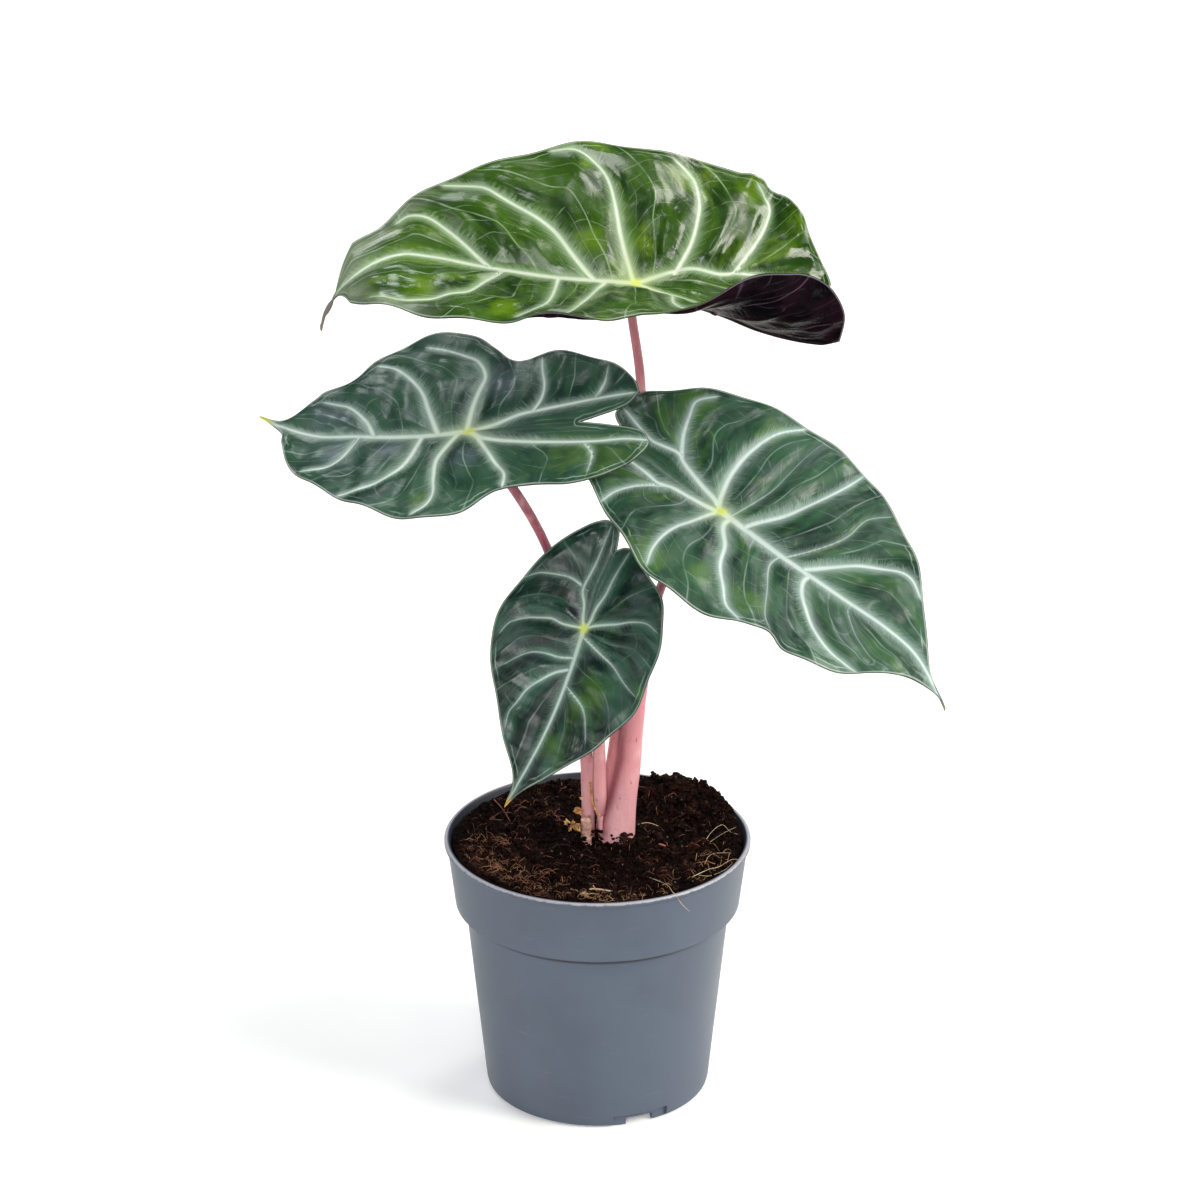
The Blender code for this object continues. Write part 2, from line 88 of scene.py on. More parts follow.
# Each blade lies in its own flat millimetre sheet, hub at the origin and tip towards +x.
# The half of +y has the key 1, the other one -1. Angles are in degrees, given at places along x.
# pitch bends the sheet down along x, rise lifts each half at the midrib, curl rolls it up further out.
# edge runs from the tip to the end of the lobe's rib, cleft from the sinus to there, both without their ends.
# Side veins run from lobe to tip, each with its half width at both ends and its points.
# thread: where the tip narrows, to which share. rolls: half, place, width, height and depth of a rolled margin.
# cells: grid steps per part of the tip and of the lobe, and rows to the edge and to the cleft.
BLADES = {
    "top": {
        "hub": (0.0144, 0.0050, 0.3313), "heading": 180, "lift": 7, "roll": 23,
        "pitch": ((-90, 4), (-60, -9), (-30, -14), (0, -3), (50, 1), (80, 7), (105, 24), (114, 52), (119, 78),
                  (130, 84)),
        "rise": {1: ((-80, 29), (-44, 29), (-30, 33), (-16, 30), (0, 26), (30, 21), (75, 9), (120, 1)),
                 -1: ((-80, 21), (0, 26), (90, 19), (125, 0))},
        "curl": {1: ((-80, 62), (-48, 60), (-36, 55), (-28, 44), (-20, 27), (-11, 12), (2, 0)), -1: 0},
        "midrib": ((0, 0), (30, 3), (60, 1), (90, -3), (106, 7), (122, 25)),
        "sinus": (-38, 2),
        "lobe": {1: ((-30, 13), (-76, 34)), -1: ((-31, -13), (-75, -20))},
        "edge": {1: ((112, 18), (97, 26), (87, 31), (65, 41), (42, 44), (27, 47), (10, 46),
                     (-6, 43), (-18, 48), (-30, 58), (-46, 64), (-62, 62), (-74, 52)),
                 -1: ((117, 8), (110, -5), (98, -15), (85, -28), (68, -38), (48, -46), (25, -54),
                      (1, -55), (-26, -55), (-51, -51), (-64, -38), (-72, -27))},
        "cleft": {1: ((-52, 6), (-68, 20)), -1: ((-54, -4), (-70, -12))},
        "wave": (1.1, 31.0, 0.4),
        "veins": {1: ((1.2, 0.5, ((0, 0), (-10, 4), (-18, 6), (-30, 13), (-52, 24), (-68, 31))),
                      (0.9, 0.4, ((-29, 13), (-34, 28), (-44, 42), (-54, 50))),
                      (0.9, 0.4, ((-14, 5), (-13, 18), (-17, 32), (-25, 43))),
                      (1.2, 0.5, ((12, 3), (14, 8), (22, 30), (26, 37), (31, 42))),
                      (1.0, 0.5, ((29, 3), (31, 20), (35, 33), (43, 39))),
                      (1.3, 0.4, ((50, 2), (60, 18), (70, 24), (84, 26), (97, 22)))),
                  -1: ((1.3, 0.5, ((0, 0), (-10, -6), (-20, -11), (-31, -12), (-39, -15), (-56, -18),
                                  (-68, -20))),
                       (1.2, 0.5, ((-36, -14), (-42, -28), (-45, -38), (-45, -46), (-38, -51))),
                       (1.4, 0.5, ((-14, -7), (-18, -20), (-19, -33), (-18, -40), (-15, -47), (-9, -52))),
                       (1.4, 0.5, ((1, -1), (7, -17), (11, -31), (15, -41), (21, -47), (28, -50),
                                  (36, -49))),
                       (1.5, 0.5, ((15, 2), (25, -8), (33, -17), (43, -23), (53, -28), (61, -32), (74, -33))),
                       (1.2, 0.5, ((55, 1), (65, -8), (73, -15), (79, -19), (86, -20), (90, -18))))},
        "spine": (1.7, 0.5),
        "cells": (12, 9, 62, 20),
        "thread": (106, 115, 0.02),
        "rolls": ((1, 27, 14, 3.0, 1.3), (1, -20, 12, 2.6, 1.8), (-1, -37, 5, 3.2, 6), (-1, -55, 7, 3.4, 7)),
        "quilt": (1.85, 1.35), "puckers": 0.24, "cords": 0.17,
    },
    "left": {
        "hub": (-0.0479, -0.0150, 0.2799), "heading": 165, "lift": -7, "roll": 25,
        "pitch": ((-80, -8), (0, 0), (50, 2), (110, -8)),
        "rise": {1: 4, -1: 4}, "curl": {1: 0, -1: 0},
        "midrib": ((0, 0), (20, 2), (45, 0), (65, -2), (87, -12)),
        "sinus": (-42, -5),
        "lobe": {1: ((-30, 7), (-70, 4)), -1: ((-28, -11), (-62, -21))},
        "edge": {1: ((77, -5), (74, 3), (67, 17), (50, 30), (34, 39), (12, 48), (-5, 45), (-20, 33),
                     (-30, 29), (-43, 30), (-53, 24), (-65, 17)),
                 -1: ((77, -11), (66, -19), (62, -24), (51, -31), (43, -39), (28, -49), (9, -50),
                      (-3, -41), (-12, -36), (-29, -40), (-46, -36), (-58, -28))},
        "cleft": {1: ((-54, -4), (-66, -2)), -1: ((-48, -8), (-58, -14))},
        "wave": (0.9, 27.0, 2.0),
        "veins": {1: ((1.3, 0.5, ((0, 0), (-7, 4), (-21, 6), (-37, 6), (-50, 5), (-60, 3), (-68, 3))),
                      (0.6, 0.3, ((-46, 6), (-50, 12), (-50, 21))),
                      (1.1, 0.6, ((-4, 3), (-13, 16), (-19, 24), (-20, 30))),
                      (1.2, 0.5, ((4, 1), (9, 14), (8, 25), (6, 34), (7, 41), (11, 45))),
                      (1.1, 0.5, ((18, 2), (21, 16), (25, 23), (33, 29), (43, 32))),
                      (1.0, 0.4, ((44, 0), (47, 11), (51, 16), (57, 18), (62, 18)))),
                  -1: ((1.2, 0.5, ((0, 0), (-9, -3), (-18, -8), (-28, -11), (-38, -14), (-48, -17),
                                  (-59, -20))),
                       (0.6, 0.3, ((-46, -17), (-48, -25), (-48, -32))),
                       (0.8, 0.4, ((-23, -10), (-25, -16), (-25, -23), (-23, -30), (-22, -35))),
                       (1.3, 0.5, ((1, 0), (1, -12), (0, -21), (-1, -28), (3, -35), (9, -39), (16, -41),
                                  (24, -43))),
                       (1.3, 0.5, ((12, 1), (18, -11), (23, -21), (31, -30), (36, -34), (42, -35))),
                       (1.0, 0.4, ((38, 0), (42, -7), (48, -13), (55, -17), (61, -18))))},
        "spine": (1.5, 0.5),
        "cells": (10, 9, 56, 20),
        "quilt": (1.3, 1.0), "puckers": 0.07, "cords": 0.10,
    },
    "right": {
        "hub": (0.0455, -0.0420, 0.2585), "heading": 316, "lift": -24, "roll": -14,
        "pitch": ((-80, -10), (0, 0), (90, 8), (130, 30)),
        "rise": {1: 7, -1: 7}, "curl": {1: 0, -1: 0},
        "midrib": ((0, 0), (30, 4), (60, 10), (88, 15), (114, 9)),
        "sinus": (-42, -3),
        "lobe": {1: ((-30, 6), (-64, 10)), -1: ((-26, -9), (-58, -17))},
        "edge": {1: ((101, 14), (89, 22), (71, 36), (58, 44), (39, 50), (24, 53), (0, 53), (-20, 49),
                     (-34, 45), (-45, 38), (-54, 30), (-62, 20)),
                 -1: ((106, 10), (96, 6), (88, -7), (79, -19), (65, -28), (54, -26), (47, -32),
                      (35, -41), (13, -46), (-4, -43), (-24, -37), (-38, -32), (-52, -25))},
        "cleft": {1: ((-52, -1), (-62, 3)), -1: ((-50, -6), (-56, -11))},
        "wave": (1.0, 29.0, 1.1),
        "veins": {1: ((1.3, 0.5, ((0, 0), (-5, 2), (-14, 3), (-25, 5), (-31, 7), (-38, 5), (-44, 4), (-60, 7))),
                      (1.1, 0.4, ((-28, 6), (-36, 14), (-42, 23), (-45, 29), (-42, 36))),
                      (1.3, 0.5, ((-2, 1), (-5, 5), (-10, 14), (-13, 24), (-14, 34), (-13, 42), (-9, 50))),
                      (0.35, 0.2, ((4, 2), (5, 20), (3, 32), (1, 44), (1, 51))),
                      (1.2, 0.4, ((11, 2), (12, 6), (16, 16), (18, 25), (20, 36), (21, 45), (21, 52))),
                      (0.4, 0.25, ((30, 4), (36, 19), (38, 29), (37, 39), (41, 47))),
                      (1.2, 0.4, ((39, 7), (45, 17), (50, 24), (56, 30), (62, 34), (67, 35), (73, 33)))),
                  -1: ((1.3, 0.5, ((0, 0), (-3, -2), (-12, -5), (-19, -7), (-24, -10), (-30, -10), (-40, -11),
                                  (-53, -16))),
                       (1.0, 0.4, ((-22, -9), (-27, -18), (-29, -26), (-28, -34))),
                       (1.2, 0.4, ((0, 0), (-1, -4), (-2, -13), (-3, -20), (-2, -28), (1, -36), (5, -42))),
                       (1.3, 0.4, ((5, 1), (6, -4), (14, -11), (20, -19), (29, -26), (36, -31), (44, -33))),
                       (0.4, 0.25, ((29, 4), (30, -3), (38, -12), (47, -22), (53, -25))),
                       (1.1, 0.4, ((42, 7), (43, 2), (49, -4), (58, -9), (67, -13), (75, -13), (84, -11))),
                       (0.3, 0.2, ((61, 10), (63, 6), (75, 0), (84, -1), (90, 0))))},
        "spine": (1.6, 0.5),
        "cells": (11, 9, 58, 20),
        "quilt": (1.35, 0.95), "puckers": 0.10, "cords": 0.17,
    },
    "front": {
        "hub": (-0.0050, -0.0220, 0.2031), "heading": 216, "lift": -58, "roll": 28,
        "pitch": ((-60, -8), (0, 0), (60, 6), (90, 14)),
        "rise": {1: 8, -1: 8}, "curl": {1: 0, -1: 0},
        "midrib": ((0, 0), (25, 3), (50, 3), (75, 0)),
        "sinus": (-32, -2),
        "lobe": {1: ((-18, 2), (-35, 3)), -1: ((-18, -6), (-41, -9))},
        "edge": {1: ((64, 6), (49, 18), (34, 28), (20, 34), (4, 34), (-11, 31), (-22, 25), (-29, 14),
                     (-34, 6)),
                 -1: ((64, -1), (52, -10), (38, -20), (22, -30), (8, -33), (-8, -30), (-25, -24),
                      (-35, -17), (-40, -12))},
        "cleft": {1: ((-34, 0),), -1: ((-38, -4), (-41, -6))},
        "wave": (0.8, 24.0, 0.0),
        "veins": {1: ((0.8, 0.3, ((0, 0), (-3, 1), (-9, 1), (-15, 2), (-22, 2), (-33, 3))),
                      (0.7, 0.3, ((-1, 1), (-4, 6), (-7, 12), (-10, 17), (-12, 23), (-11, 28))),
                      (0.7, 0.3, ((3, 1), (6, 11), (8, 18), (12, 26), (14, 31))),
                      (0.7, 0.3, ((23, 3), (26, 11), (29, 15), (33, 18), (38, 20)))),
                  -1: ((0.8, 0.3, ((0, 0), (-3, -2), (-8, -4), (-13, -7), (-20, -7), (-25, -7), (-38, -8))),
                       (0.6, 0.3, ((-14, -7), (-15, -13), (-14, -18), (-12, -24), (-10, -27), (-7, -30))),
                       (0.7, 0.3, ((0, 0), (2, -8), (2, -13), (4, -18), (6, -22), (10, -27), (15, -29))),
                       (0.6, 0.3, ((12, 1), (14, -4), (15, -10), (17, -15), (21, -19), (25, -22))),
                       (0.8, 0.3, ((17, 1), (20, -3), (25, -7), (30, -10), (37, -12), (41, -13), (46, -12))))},
        "spine": (1.2, 0.4),
        "cells": (8, 6, 46, 14),
        "quilt": (1.1, 0.9), "puckers": 0.05, "cords": 0.07,
    },
}

# Colours of each blade's upper side, and what else sets its look:
# lime_and_backlight   two places along x and the pattern's level at each, above which bright green shows, partly the blade's own lime tone and partly painted light shining through it
# shade  two places across the blade, from the first to the second of which that level rises
# lime_and_backlight_spots, slate_and_sheen_spots   places and radii of patches in that bright green and in slate_and_sheen
# slate_and_sheen, grey, tip   two places along x between which the colour comes in, and the colour; slate_and_sheen is partly the blade's own slate tone and partly painted soft sheen, grey is a painted sheen
# hub    size of the yellow spot; fade   how fast the yellow leaves the veins round it
# reach, bold   width of the fringes and of the veins; shine   specular level; gloss   roughness
LOOKS = {
    "top": {
        "deep": (0.0095, 0.038, 0.0020), "mid": (0.038, 0.100, 0.0080), "bright": (0.090, 0.180, 0.0015),
        "vein": (0.60, 0.68, 0.56), "halo": (0.36, 0.50, 0.31), "channel": (0.52, 0.43, 0.38),
        "lip": (0.34, 0.42, 0.30), "tip": (111, 114, (0.15, 0.13, 0.125)), "grey": (62, 98, (0.25, 0.29, 0.23)),
        "lime_and_backlight": (0, 1, 0.51, 0.51),
        "lime_and_backlight_spots": ((23, -44, 5), (18, -14, 9), (-37, -48, 9), (79, 20, 9), (1, -17, 8), (48, 33, 9)),
        "hub": 1.1, "fade": 0.14, "thin": 0.50, "glow": 0.78,
        "reach": 1.45, "bold": 1.1, "shine": 0.46, "gloss": 0.25,
    },
    "left": {
        "deep": (0.015, 0.048, 0.032), "mid": (0.038, 0.100, 0.057), "bright": (0.058, 0.128, 0.034),
        "vein": (0.66, 0.78, 0.70), "halo": (0.44, 0.58, 0.50), "channel": (0.36, 0.46, 0.36),
        "lip": (0.36, 0.42, 0.38), "tip": (79, 84, (0.58, 0.58, 0.10)),
        "lime_and_backlight": (-45, 0, 0.46, 0.58), "shade": (0, -14), "lime_and_backlight_spots": ((-46, 11, 12), (9, 39, 8)),
        "slate_and_sheen": (10, 45, (0.078, 0.118, 0.132)), "cloudy": 0.4,
        "slate_and_sheen_spots": ((57, -11, 14), (50, 10, 14), (-2, 16, 10), (-8, -25, 12), (30, 8, 8)),
        "hub": 1.0, "fade": 0.20, "thin": 0.34, "glow": 0.76,
        "reach": 1.35, "bold": 1.3, "shine": 0.36, "gloss": 0.34,
    },
    "right": {
        "deep": (0.012, 0.041, 0.025), "mid": (0.034, 0.100, 0.050), "bright": (0.060, 0.150, 0.024),
        "vein": (0.60, 0.70, 0.68), "halo": (0.40, 0.53, 0.48), "channel": (0.40, 0.50, 0.42),
        "lip": (0.38, 0.46, 0.40), "tip": (109, 114, (0.38, 0.34, 0.14)),
        "lime_and_backlight": (20, 60, 0.52, 0.55), "lime_and_backlight_spots": ((3, -40, 11), (39, -24, 10), (-44, 28, 12), (20, -30, 9)),
        "slate_and_sheen": (-60, -55, (0.062, 0.108, 0.088)), "cloudy": 0.7, "slate_and_sheen_spots": (),
        "hub": 1.0, "fade": 0.24, "thin": 0.32, "glow": 0.74,
        "reach": 1.5, "bold": 1.3, "shine": 0.38, "gloss": 0.36,
    },
    "front": {
        "deep": (0.0035, 0.017, 0.0125), "mid": (0.023, 0.080, 0.048), "bright": (0.042, 0.115, 0.014),
        "vein": (0.50, 0.63, 0.56), "halo": (0.30, 0.43, 0.37), "channel": (0.28, 0.36, 0.28),
        "lip": (0.26, 0.33, 0.27), "tip": (69, 74, (0.64, 0.40, 0.07)),
        "lime_and_backlight": (-10, 15, 0.58, 0.50), "shade": (6, -4), "lime_and_backlight_spots": ((19, 16, 10), (27, 14, 9), (46, 9, 8)),
        "slate_and_sheen": (-60, -55, (0.038, 0.062, 0.058)), "cloudy": 0.4,
        "slate_and_sheen_spots": ((15, -21, 8), (20, -11, 6), (-19, 17, 7)),
        "hub": 0.9, "fade": 0.40, "thin": 0.20, "glow": 0.60,
        "reach": 1.1, "bold": 1.15, "shine": 0.42, "gloss": 0.33,
    },
}

# Petiole paths run from the soil up, each row x, y, z and radius in millimetres. The blade sets the upper end.
PETIOLES = {
    "top": ((2.4, 9.0, 72, 2.4), (2.6, 9.0, 103, 2.6), (4.1, 8.8, 117, 2.7), (6.3, 8.6, 132, 2.6),
            (8.0, 8.6, 147, 2.4), (11.5, 10.0, 176, 2.1), (15.2, 15.0, 224, 1.9), (16.6, 17.0, 260, 1.8),
            (16.3, 14.5, 290, 1.8)),
    "right": ((8.8, 7.2, 72, 5.3), (8.9, 7.0, 103, 5.6), (10.0, 6.5, 118, 5.0), (12.1, 6.0, 133, 4.4),
              (13.6, 5.0, 149, 3.9), (17.6, 2.0, 175, 2.7), (23.1, -8.0, 211, 1.9), (31.8, -22.0, 233, 1.8)),
    "left": ((-3.4, 6.0, 72, 2.2), (-3.6, 5.9, 110, 2.2), (-4.5, 5.0, 140, 2.1), (-7.5, 5.0, 166, 2.0),
             (-12.1, 4.5, 195, 1.9), (-18.5, 3.0, 224, 1.8), (-32.1, -7.0, 254.6, 1.8)),
    "front": ((1.2, 3.2, 72, 2.4), (1.2, 3.0, 106, 2.4), (0.6, 2.0, 142, 2.1), (-0.5, 0.5, 163, 1.9),
              (-2.1, -6.0, 183, 1.7)),
}
STUB = ((-4.2, 1.4, 88, 2.1), (-4.3, 1.2, 102, 2.1), (-4.4, 0.9, 112.5, 2.0))
SEATS = {"top": 0.40, "left": 0.53, "right": 0.46, "front": 0.39}
TOP_RADIUS = 1.7
TOP_REACH = 9.0
PETIOLE_SIDES = 32
PETIOLE_RINGS = 150
STUB_RINGS = 60
# How far the fused sheath stands out from each petiole, by height. The foot has a path of its own.
SHEATH = {
    "right": ((97, 0.3), (112, 0.4), (140, 0.5), (158, 0.3), (166, -0.6)),
    "top": ((97, 0.6), (120, 0.6), (140, 0.6), (158, 0.3), (166, -0.6)),
    "left": ((97, 0.3), (125, 0.5), (146, 0.5), (154, -0.5)),
    "front": ((113, -0.6), (120, 0.4), (146, 0.45), (154, -0.5)),
    "foot": ((97, 0.0), (140, 0.0)),
}
FOOT = ((6.2, 5.8, 96, 6.4), (6.6, 5.8, 104, 6.2), (8.2, 6.0, 112, 5.4), (10.0, 6.2, 122, 4.4),
        (11.5, 6.2, 132, 4.0))
# Share by which a petiole is thinner low down, inside the sheath
SLIM = {"front": 0.62, "right": 0.08}
# Marks down the front of the sheath: x and z of the line, and its half width. The fold is darker rose of its
# own and painted shade in its groove; the seam is painted shade between two stems.
STEM_MARKS = {
    "fold": (((9.6, 166), (9.0, 138), (6.4, 126.5), (3.9, 117.4), (1.9, 111), (1.4, 103)), 1.9),
    "seam": (((-1.2, 152), (-1.5, 140), (-1.7, 125), (-1.2, 117)), 0.22),
    "scar": (((-2.4, 130), (-2.6, 122), (-1.4, 117), (1.0, 112.5)), 0.8),
}
# Golden edge across the stems: x and z. Flakes: place, size and how many.
SCAR = ((-2.9, 127.3), (-2.3, 122.0), (-1.6, 118.4), (-0.4, 115.5), (1.4, 113.1))
FLAKES = ((-7.8, -0.5, 117.0, 1.7, 4), (-10.6, -0.5, 110.4, 1.6, 4), (-7.4, -1.0, 109.5, 1.6, 4),
          (-6.8, 0.0, 121.0, 0.9, 1))
FLAKE_COLUMNS = 9
FLAKE_ROWS = 7
FLAKE_THICKNESS = 0.10

# Soil
SOIL_LEVEL = 0.1013
SOIL_RADIUS = 0.0567
SOIL_RINGS = 110
SOIL_SPOKES = 340
# Radius and height of the plug below its top
SOIL_WALL = ((0.0567, 0.0990), (0.0543, 0.0803), (0.0503, 0.0791), (0.0427, 0.0057), (0.0419, 0.0050),
             (0.0269, 0.0050), (0.0252, 0.0015))
# Hills on the peat: centre x and y, and width along both. Pushed up ones begin with their height.
HEAP = (0.034, 0.034, 0.024, 0.024)
PUSHED_UP = ((0.0021, 0.055, 0.012, 0.013, 0.024), (0.0016, -0.052, -0.010, 0.012, 0.030))
# Deep, middle and warm colour of the peat's ground and of its crumbs
GROUND_COLOURS = ((0.0008, 0.0001, 0.0001), (0.0065, 0.0022, 0.0013), (0.020, 0.0070, 0.0042))
LUMP_COLOURS = ((0.0018, 0.0003, 0.0002), (0.019, 0.0072, 0.0048), (0.062, 0.025, 0.0165))
CRUMBS = 4200
CRUMB_SHAPES = 14
CRUMBS_AT_FEET = 16
CRUMB_EDGE = 0.0568
# Coarse bits at the back right of the rim: middle and spread of their places, and how many
SPIKES = ((0.0515, 0.0385, 0.0035), (0.0022, 0.0022, 0.0016), (46, 3))
FIBRE_EDGE = 0.0545
THREAD_RINGS = 7
# Where stems stand in the peat: x, y and radius in millimetres
STEM_FEET = ((2.6, 9.0, 2.6), (8.9, 7.0, 5.6), (-3.6, 5.9, 2.2), (1.2, 3.0, 2.4), (-4.3, 1.2, 2.1))

# Crumbs piled against the stems: place and spread in millimetres. The first two fill the hollow below the front
# stems and stand in part for the shade there.
FOOT_CRUMBS = ((0.0, -0.2, 104.5, 1.1), (-0.6, 0.2, 107.0, 0.7), (9.7, -0.6, 104.0, 0.8),
               (10.3, -0.4, 106.0, 0.5), (5.5, -0.8, 102.6, 1.8), (12.5, 1.0, 103.0, 1.2),
               (-6.5, -0.5, 103.2, 1.2))
# Roots and straws that can be told apart: points, half thickness and colour
ROOTS = (
    (((-6.6, -47.6, 0.3), (-2.8, -42.5, 0.8), (1.0, -42.1, 0.6), (7.1, -43.0, 0.3)), 0.42, "pale"),
    (((-1.7, -39.1, 0.9), (-0.1, -44.2, 0.8)), 0.20, "pale"),
    (((-10.0, -44.0, 0.3), (-5.0, -46.5, 0.6), (1.0, -46.0, 0.4)), 0.16, "pale"),
    (((19.1, -31.4, 0.2), (24.0, -36.5, 1.2), (27.0, -44.0, 2.6), (28.6, -51.2, 106.6), (30.0, -52.6, 105.6),
      (31.5, -50.9, 102.2), (33.4, -49.0, 98.9), (35.4, -46.8, 96.0)), 0.12, "pale"),
    (((36.5, -33.0, 0.2), (42.7, -27.6, 1.4), (47.0, -25.4, 2.0), (52.4, -24.4, 107.2),
      (58.0, -26.6, 106.8)), 0.13, "pale"),
    (((38.0, -30.0, 0.3), (43.0, -30.5, 1.6), (49.0, -29.0, 1.8), (52.5, -22.0, 1.2)), 0.08, "pale"),
    (((41.3, -3.3, 0.2), (44.9, 2.0, 1.2), (49.0, 6.5, 1.6), (52.0, 2.0, 1.2), (55.1, 1.2, 0.8)), 0.10, "pale"),
    (((44.0, -2.0, 0.3), (49.0, 0.5, 1.4), (54.5, 5.5, 1.2)), 0.08, "pale"),
    (((35.0, -14.0, 0.3), (44.0, -16.0, 1.5), (52.0, -14.0, 1.4)), 0.07, "pale"),
    (((15.5, 12.0, 0.3), (20.0, 11.0, 1.4), (25.0, 9.0, 0.6)), 0.12, "pale"),
    (((-41.3, 34.9, 0.3), (-37.6, 26.6, 0.9), (-34.5, 18.3, 0.5)), 0.26, "red"),
    (((-36.8, 29.3, 0.3), (-40.7, 22.9, 0.8), (-42.9, 17.4, 0.5)), 0.24, "red"),
    (((-42.9, 17.4, 0.4), (-37.4, 17.4, 0.8)), 0.22, "red"),
    (((16.6, 38.6, 1.2), (22.1, 33.0, 1.6)), 0.20, "red"),
    (((24.0, -3.5, 0.5), (25.5, -4.2, 0.9), (27.0, -4.0, 0.5)), 0.45, "red"),
)

# Pot
POT_FACETS = 220
POT_WALL = 0.0012
RIM_RADIUS = 0.0600
POT_HEIGHT = 0.1055
COLLAR_FOOT = 0.0785
BODY_TOP_RADIUS = 0.0520
BASE_RADIUS = 0.0443
FLOOR_LIFT = 0.0035
NOTCH_HEIGHT = 0.0048
NOTCH_DEPTH = 0.0013
NOTCH_WIDTH = 30.0
NOTCH_CENTRES = (-67.0, 53.0, 173.0)
OPENING_HEIGHT = 0.0030
OPENING_WIDTH = 15.0
OPENING_DEPTH = 0.0043
OPENING_SHIFT = -0.5
DRAIN_COUNT = 6
DRAIN_RADIUS = 0.0030
DRAIN_RING = 0.0340
CUT_BELOW = -0.002
# Turned section: radius and height, from the middle of the floor over the rim to the middle of the underside
POT_SECTION = (
    (0, POT_WALL), (0.0256, POT_WALL), (0.0272, FLOOR_LIFT + POT_WALL), (0.0422, FLOOR_LIFT + POT_WALL),
    (BASE_RADIUS - POT_WALL, 0.0056), (BODY_TOP_RADIUS - POT_WALL, COLLAR_FOOT + 0.0003),
    (0.0547, COLLAR_FOOT + 0.0015), (0.0578, POT_HEIGHT - 0.0005), (0.0582, POT_HEIGHT),
    (0.0596, POT_HEIGHT), (RIM_RADIUS, POT_HEIGHT - 0.0005), (RIM_RADIUS, POT_HEIGHT - 0.0013),
    (0.0597, POT_HEIGHT - 0.0017), (0.0589, POT_HEIGHT - 0.0021), (0.0559, COLLAR_FOOT + 0.0005),
    (0.0553, COLLAR_FOOT - 0.0001), (BODY_TOP_RADIUS, COLLAR_FOOT - 0.0006), (BASE_RADIUS, 0.0024),
    (0.0439, 0.0008), (0.0428, 0.0001), (0.0414, 0.0001), (0.0405, FLOOR_LIFT), (0.0265, FLOOR_LIFT),
    (0.0250, 0), (0, 0))


class Value:
    """What a node puts out. Arithmetic on it adds Math nodes."""

    def __init__(self, graph, socket):
        self.graph, self.socket = graph, socket

    def __add__(self, other):
        return self.graph.math("ADD", self, other)

    def __sub__(self, other):
        return self.graph.math("SUBTRACT", self, other)

    def __rsub__(self, other):
        return self.graph.math("SUBTRACT", other, self)

    def __mul__(self, other):
        return self.graph.math("MULTIPLY", self, other)

    def __truediv__(self, other):
        return self.graph.math("DIVIDE", self, other)

    def __abs__(self):
        return self.graph.math("ABSOLUTE", self)


class Graph:
    """Short calls that add nodes to one material and link them."""

    def __init__(self, name):
        self.mat = bpy.data.materials.new(name)
        self.mat.use_nodes = True
        self.tree = self.mat.node_tree
        self.shader = self.tree.nodes["Principled BSDF"]
        self.colour = None

    def feed(self, socket, value):
        if isinstance(value, Value):
            self.tree.links.new(value.socket, socket)
        else:
            socket.default_value = (*value, 1.0) if socket.type == "RGBA" else value

    def node(self, kind, inputs, output=0, **settings):
        """New node with its inputs fed by number or name. Gives one of its outputs."""
        made = self.tree.nodes.new("ShaderNode" + kind)
        for key, value in settings.items():
            setattr(made, key, value)
        for key, value in inputs.items():
            self.feed(made.inputs[key], value)
        return Value(self, made.outputs[output])

    def math(self, operation, *values):
        return self.node("Math", dict(enumerate(values)), operation=operation)

    def most(self, first, second):
        return self.math("MAXIMUM", first, second)

    def away(self, x, y):
        """Distance of x, y from the origin."""
        return self.math("SQRT", x * x + y * y)

    def read(self, name, output="Fac"):
        return self.node("Attribute", {}, output, attribute_name=name)

    def place(self):
        return self.node("TexCoord", {}, "Object")

    def split(self, vector):
        node = self.node("SeparateXYZ", {0: vector}).socket.node
        return [Value(self, socket) for socket in node.outputs]

    def join(self, *values):
        return self.node("CombineXYZ", dict(enumerate(values)))

    def scaled(self, vector, by):
        return self.node("VectorMath", {0: vector, 1: by}, operation="MULTIPLY")

    def step(self, value, low, high, start=0.0, end=1.0):
        """Smooth change from start to end while value goes from low to high."""
        inputs = {"Value": value, "From Min": low, "From Max": high, "To Min": start, "To Max": end}
        return self.node("MapRange", inputs, interpolation_type="SMOOTHSTEP")

    def fall(self, value, low, high):
        return self.step(value, low, high, 1.0, 0.0)

    def noise(self, vector, scale, detail=2.0, roughness=0.5, distortion=0.0):
        inputs = {"Vector": vector, "Scale": scale, "Detail": detail, "Roughness": roughness,
                  "Distortion": distortion}
        return self.node("TexNoise", inputs, "Fac")

    def mix(self, share, first, second):
        return self.node("Mix", {0: share, 6: first, 7: second}, 2, data_type="RGBA")

    def paint(self, *coats):
        """Lay colours over the one that is there, each as strongly as its share says."""
        for share, colour in coats:
            self.colour = self.mix(share, self.colour, colour)

    def bump(self, height, distance, strength):
        return self.node("Bump", {"Strength": strength, "Distance": distance, "Height": height})

    def finish(self, **values):
        for key, value in {"base_color": self.colour, **values}.items():
            self.feed(self.shader.inputs[key.replace("_", " ").title()], value)
        return self.mat


def put(name, data):
    """New object in the scene."""
    obj = bpy.data.objects.new(name, data)
    bpy.context.scene.collection.objects.link(obj)
    return obj


def hand_over(obj, slot, *replaced):
    """Say what the piece rides on and hide the CAD nodes that it stands for. slot is not used."""
    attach(obj, "root")
    if replaced:
        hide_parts(*replaced)


def modify(obj, kind, **settings):
    made = obj.modifiers.new(kind.lower(), kind)
    for key, value in settings.items():
        setattr(made, key, value)


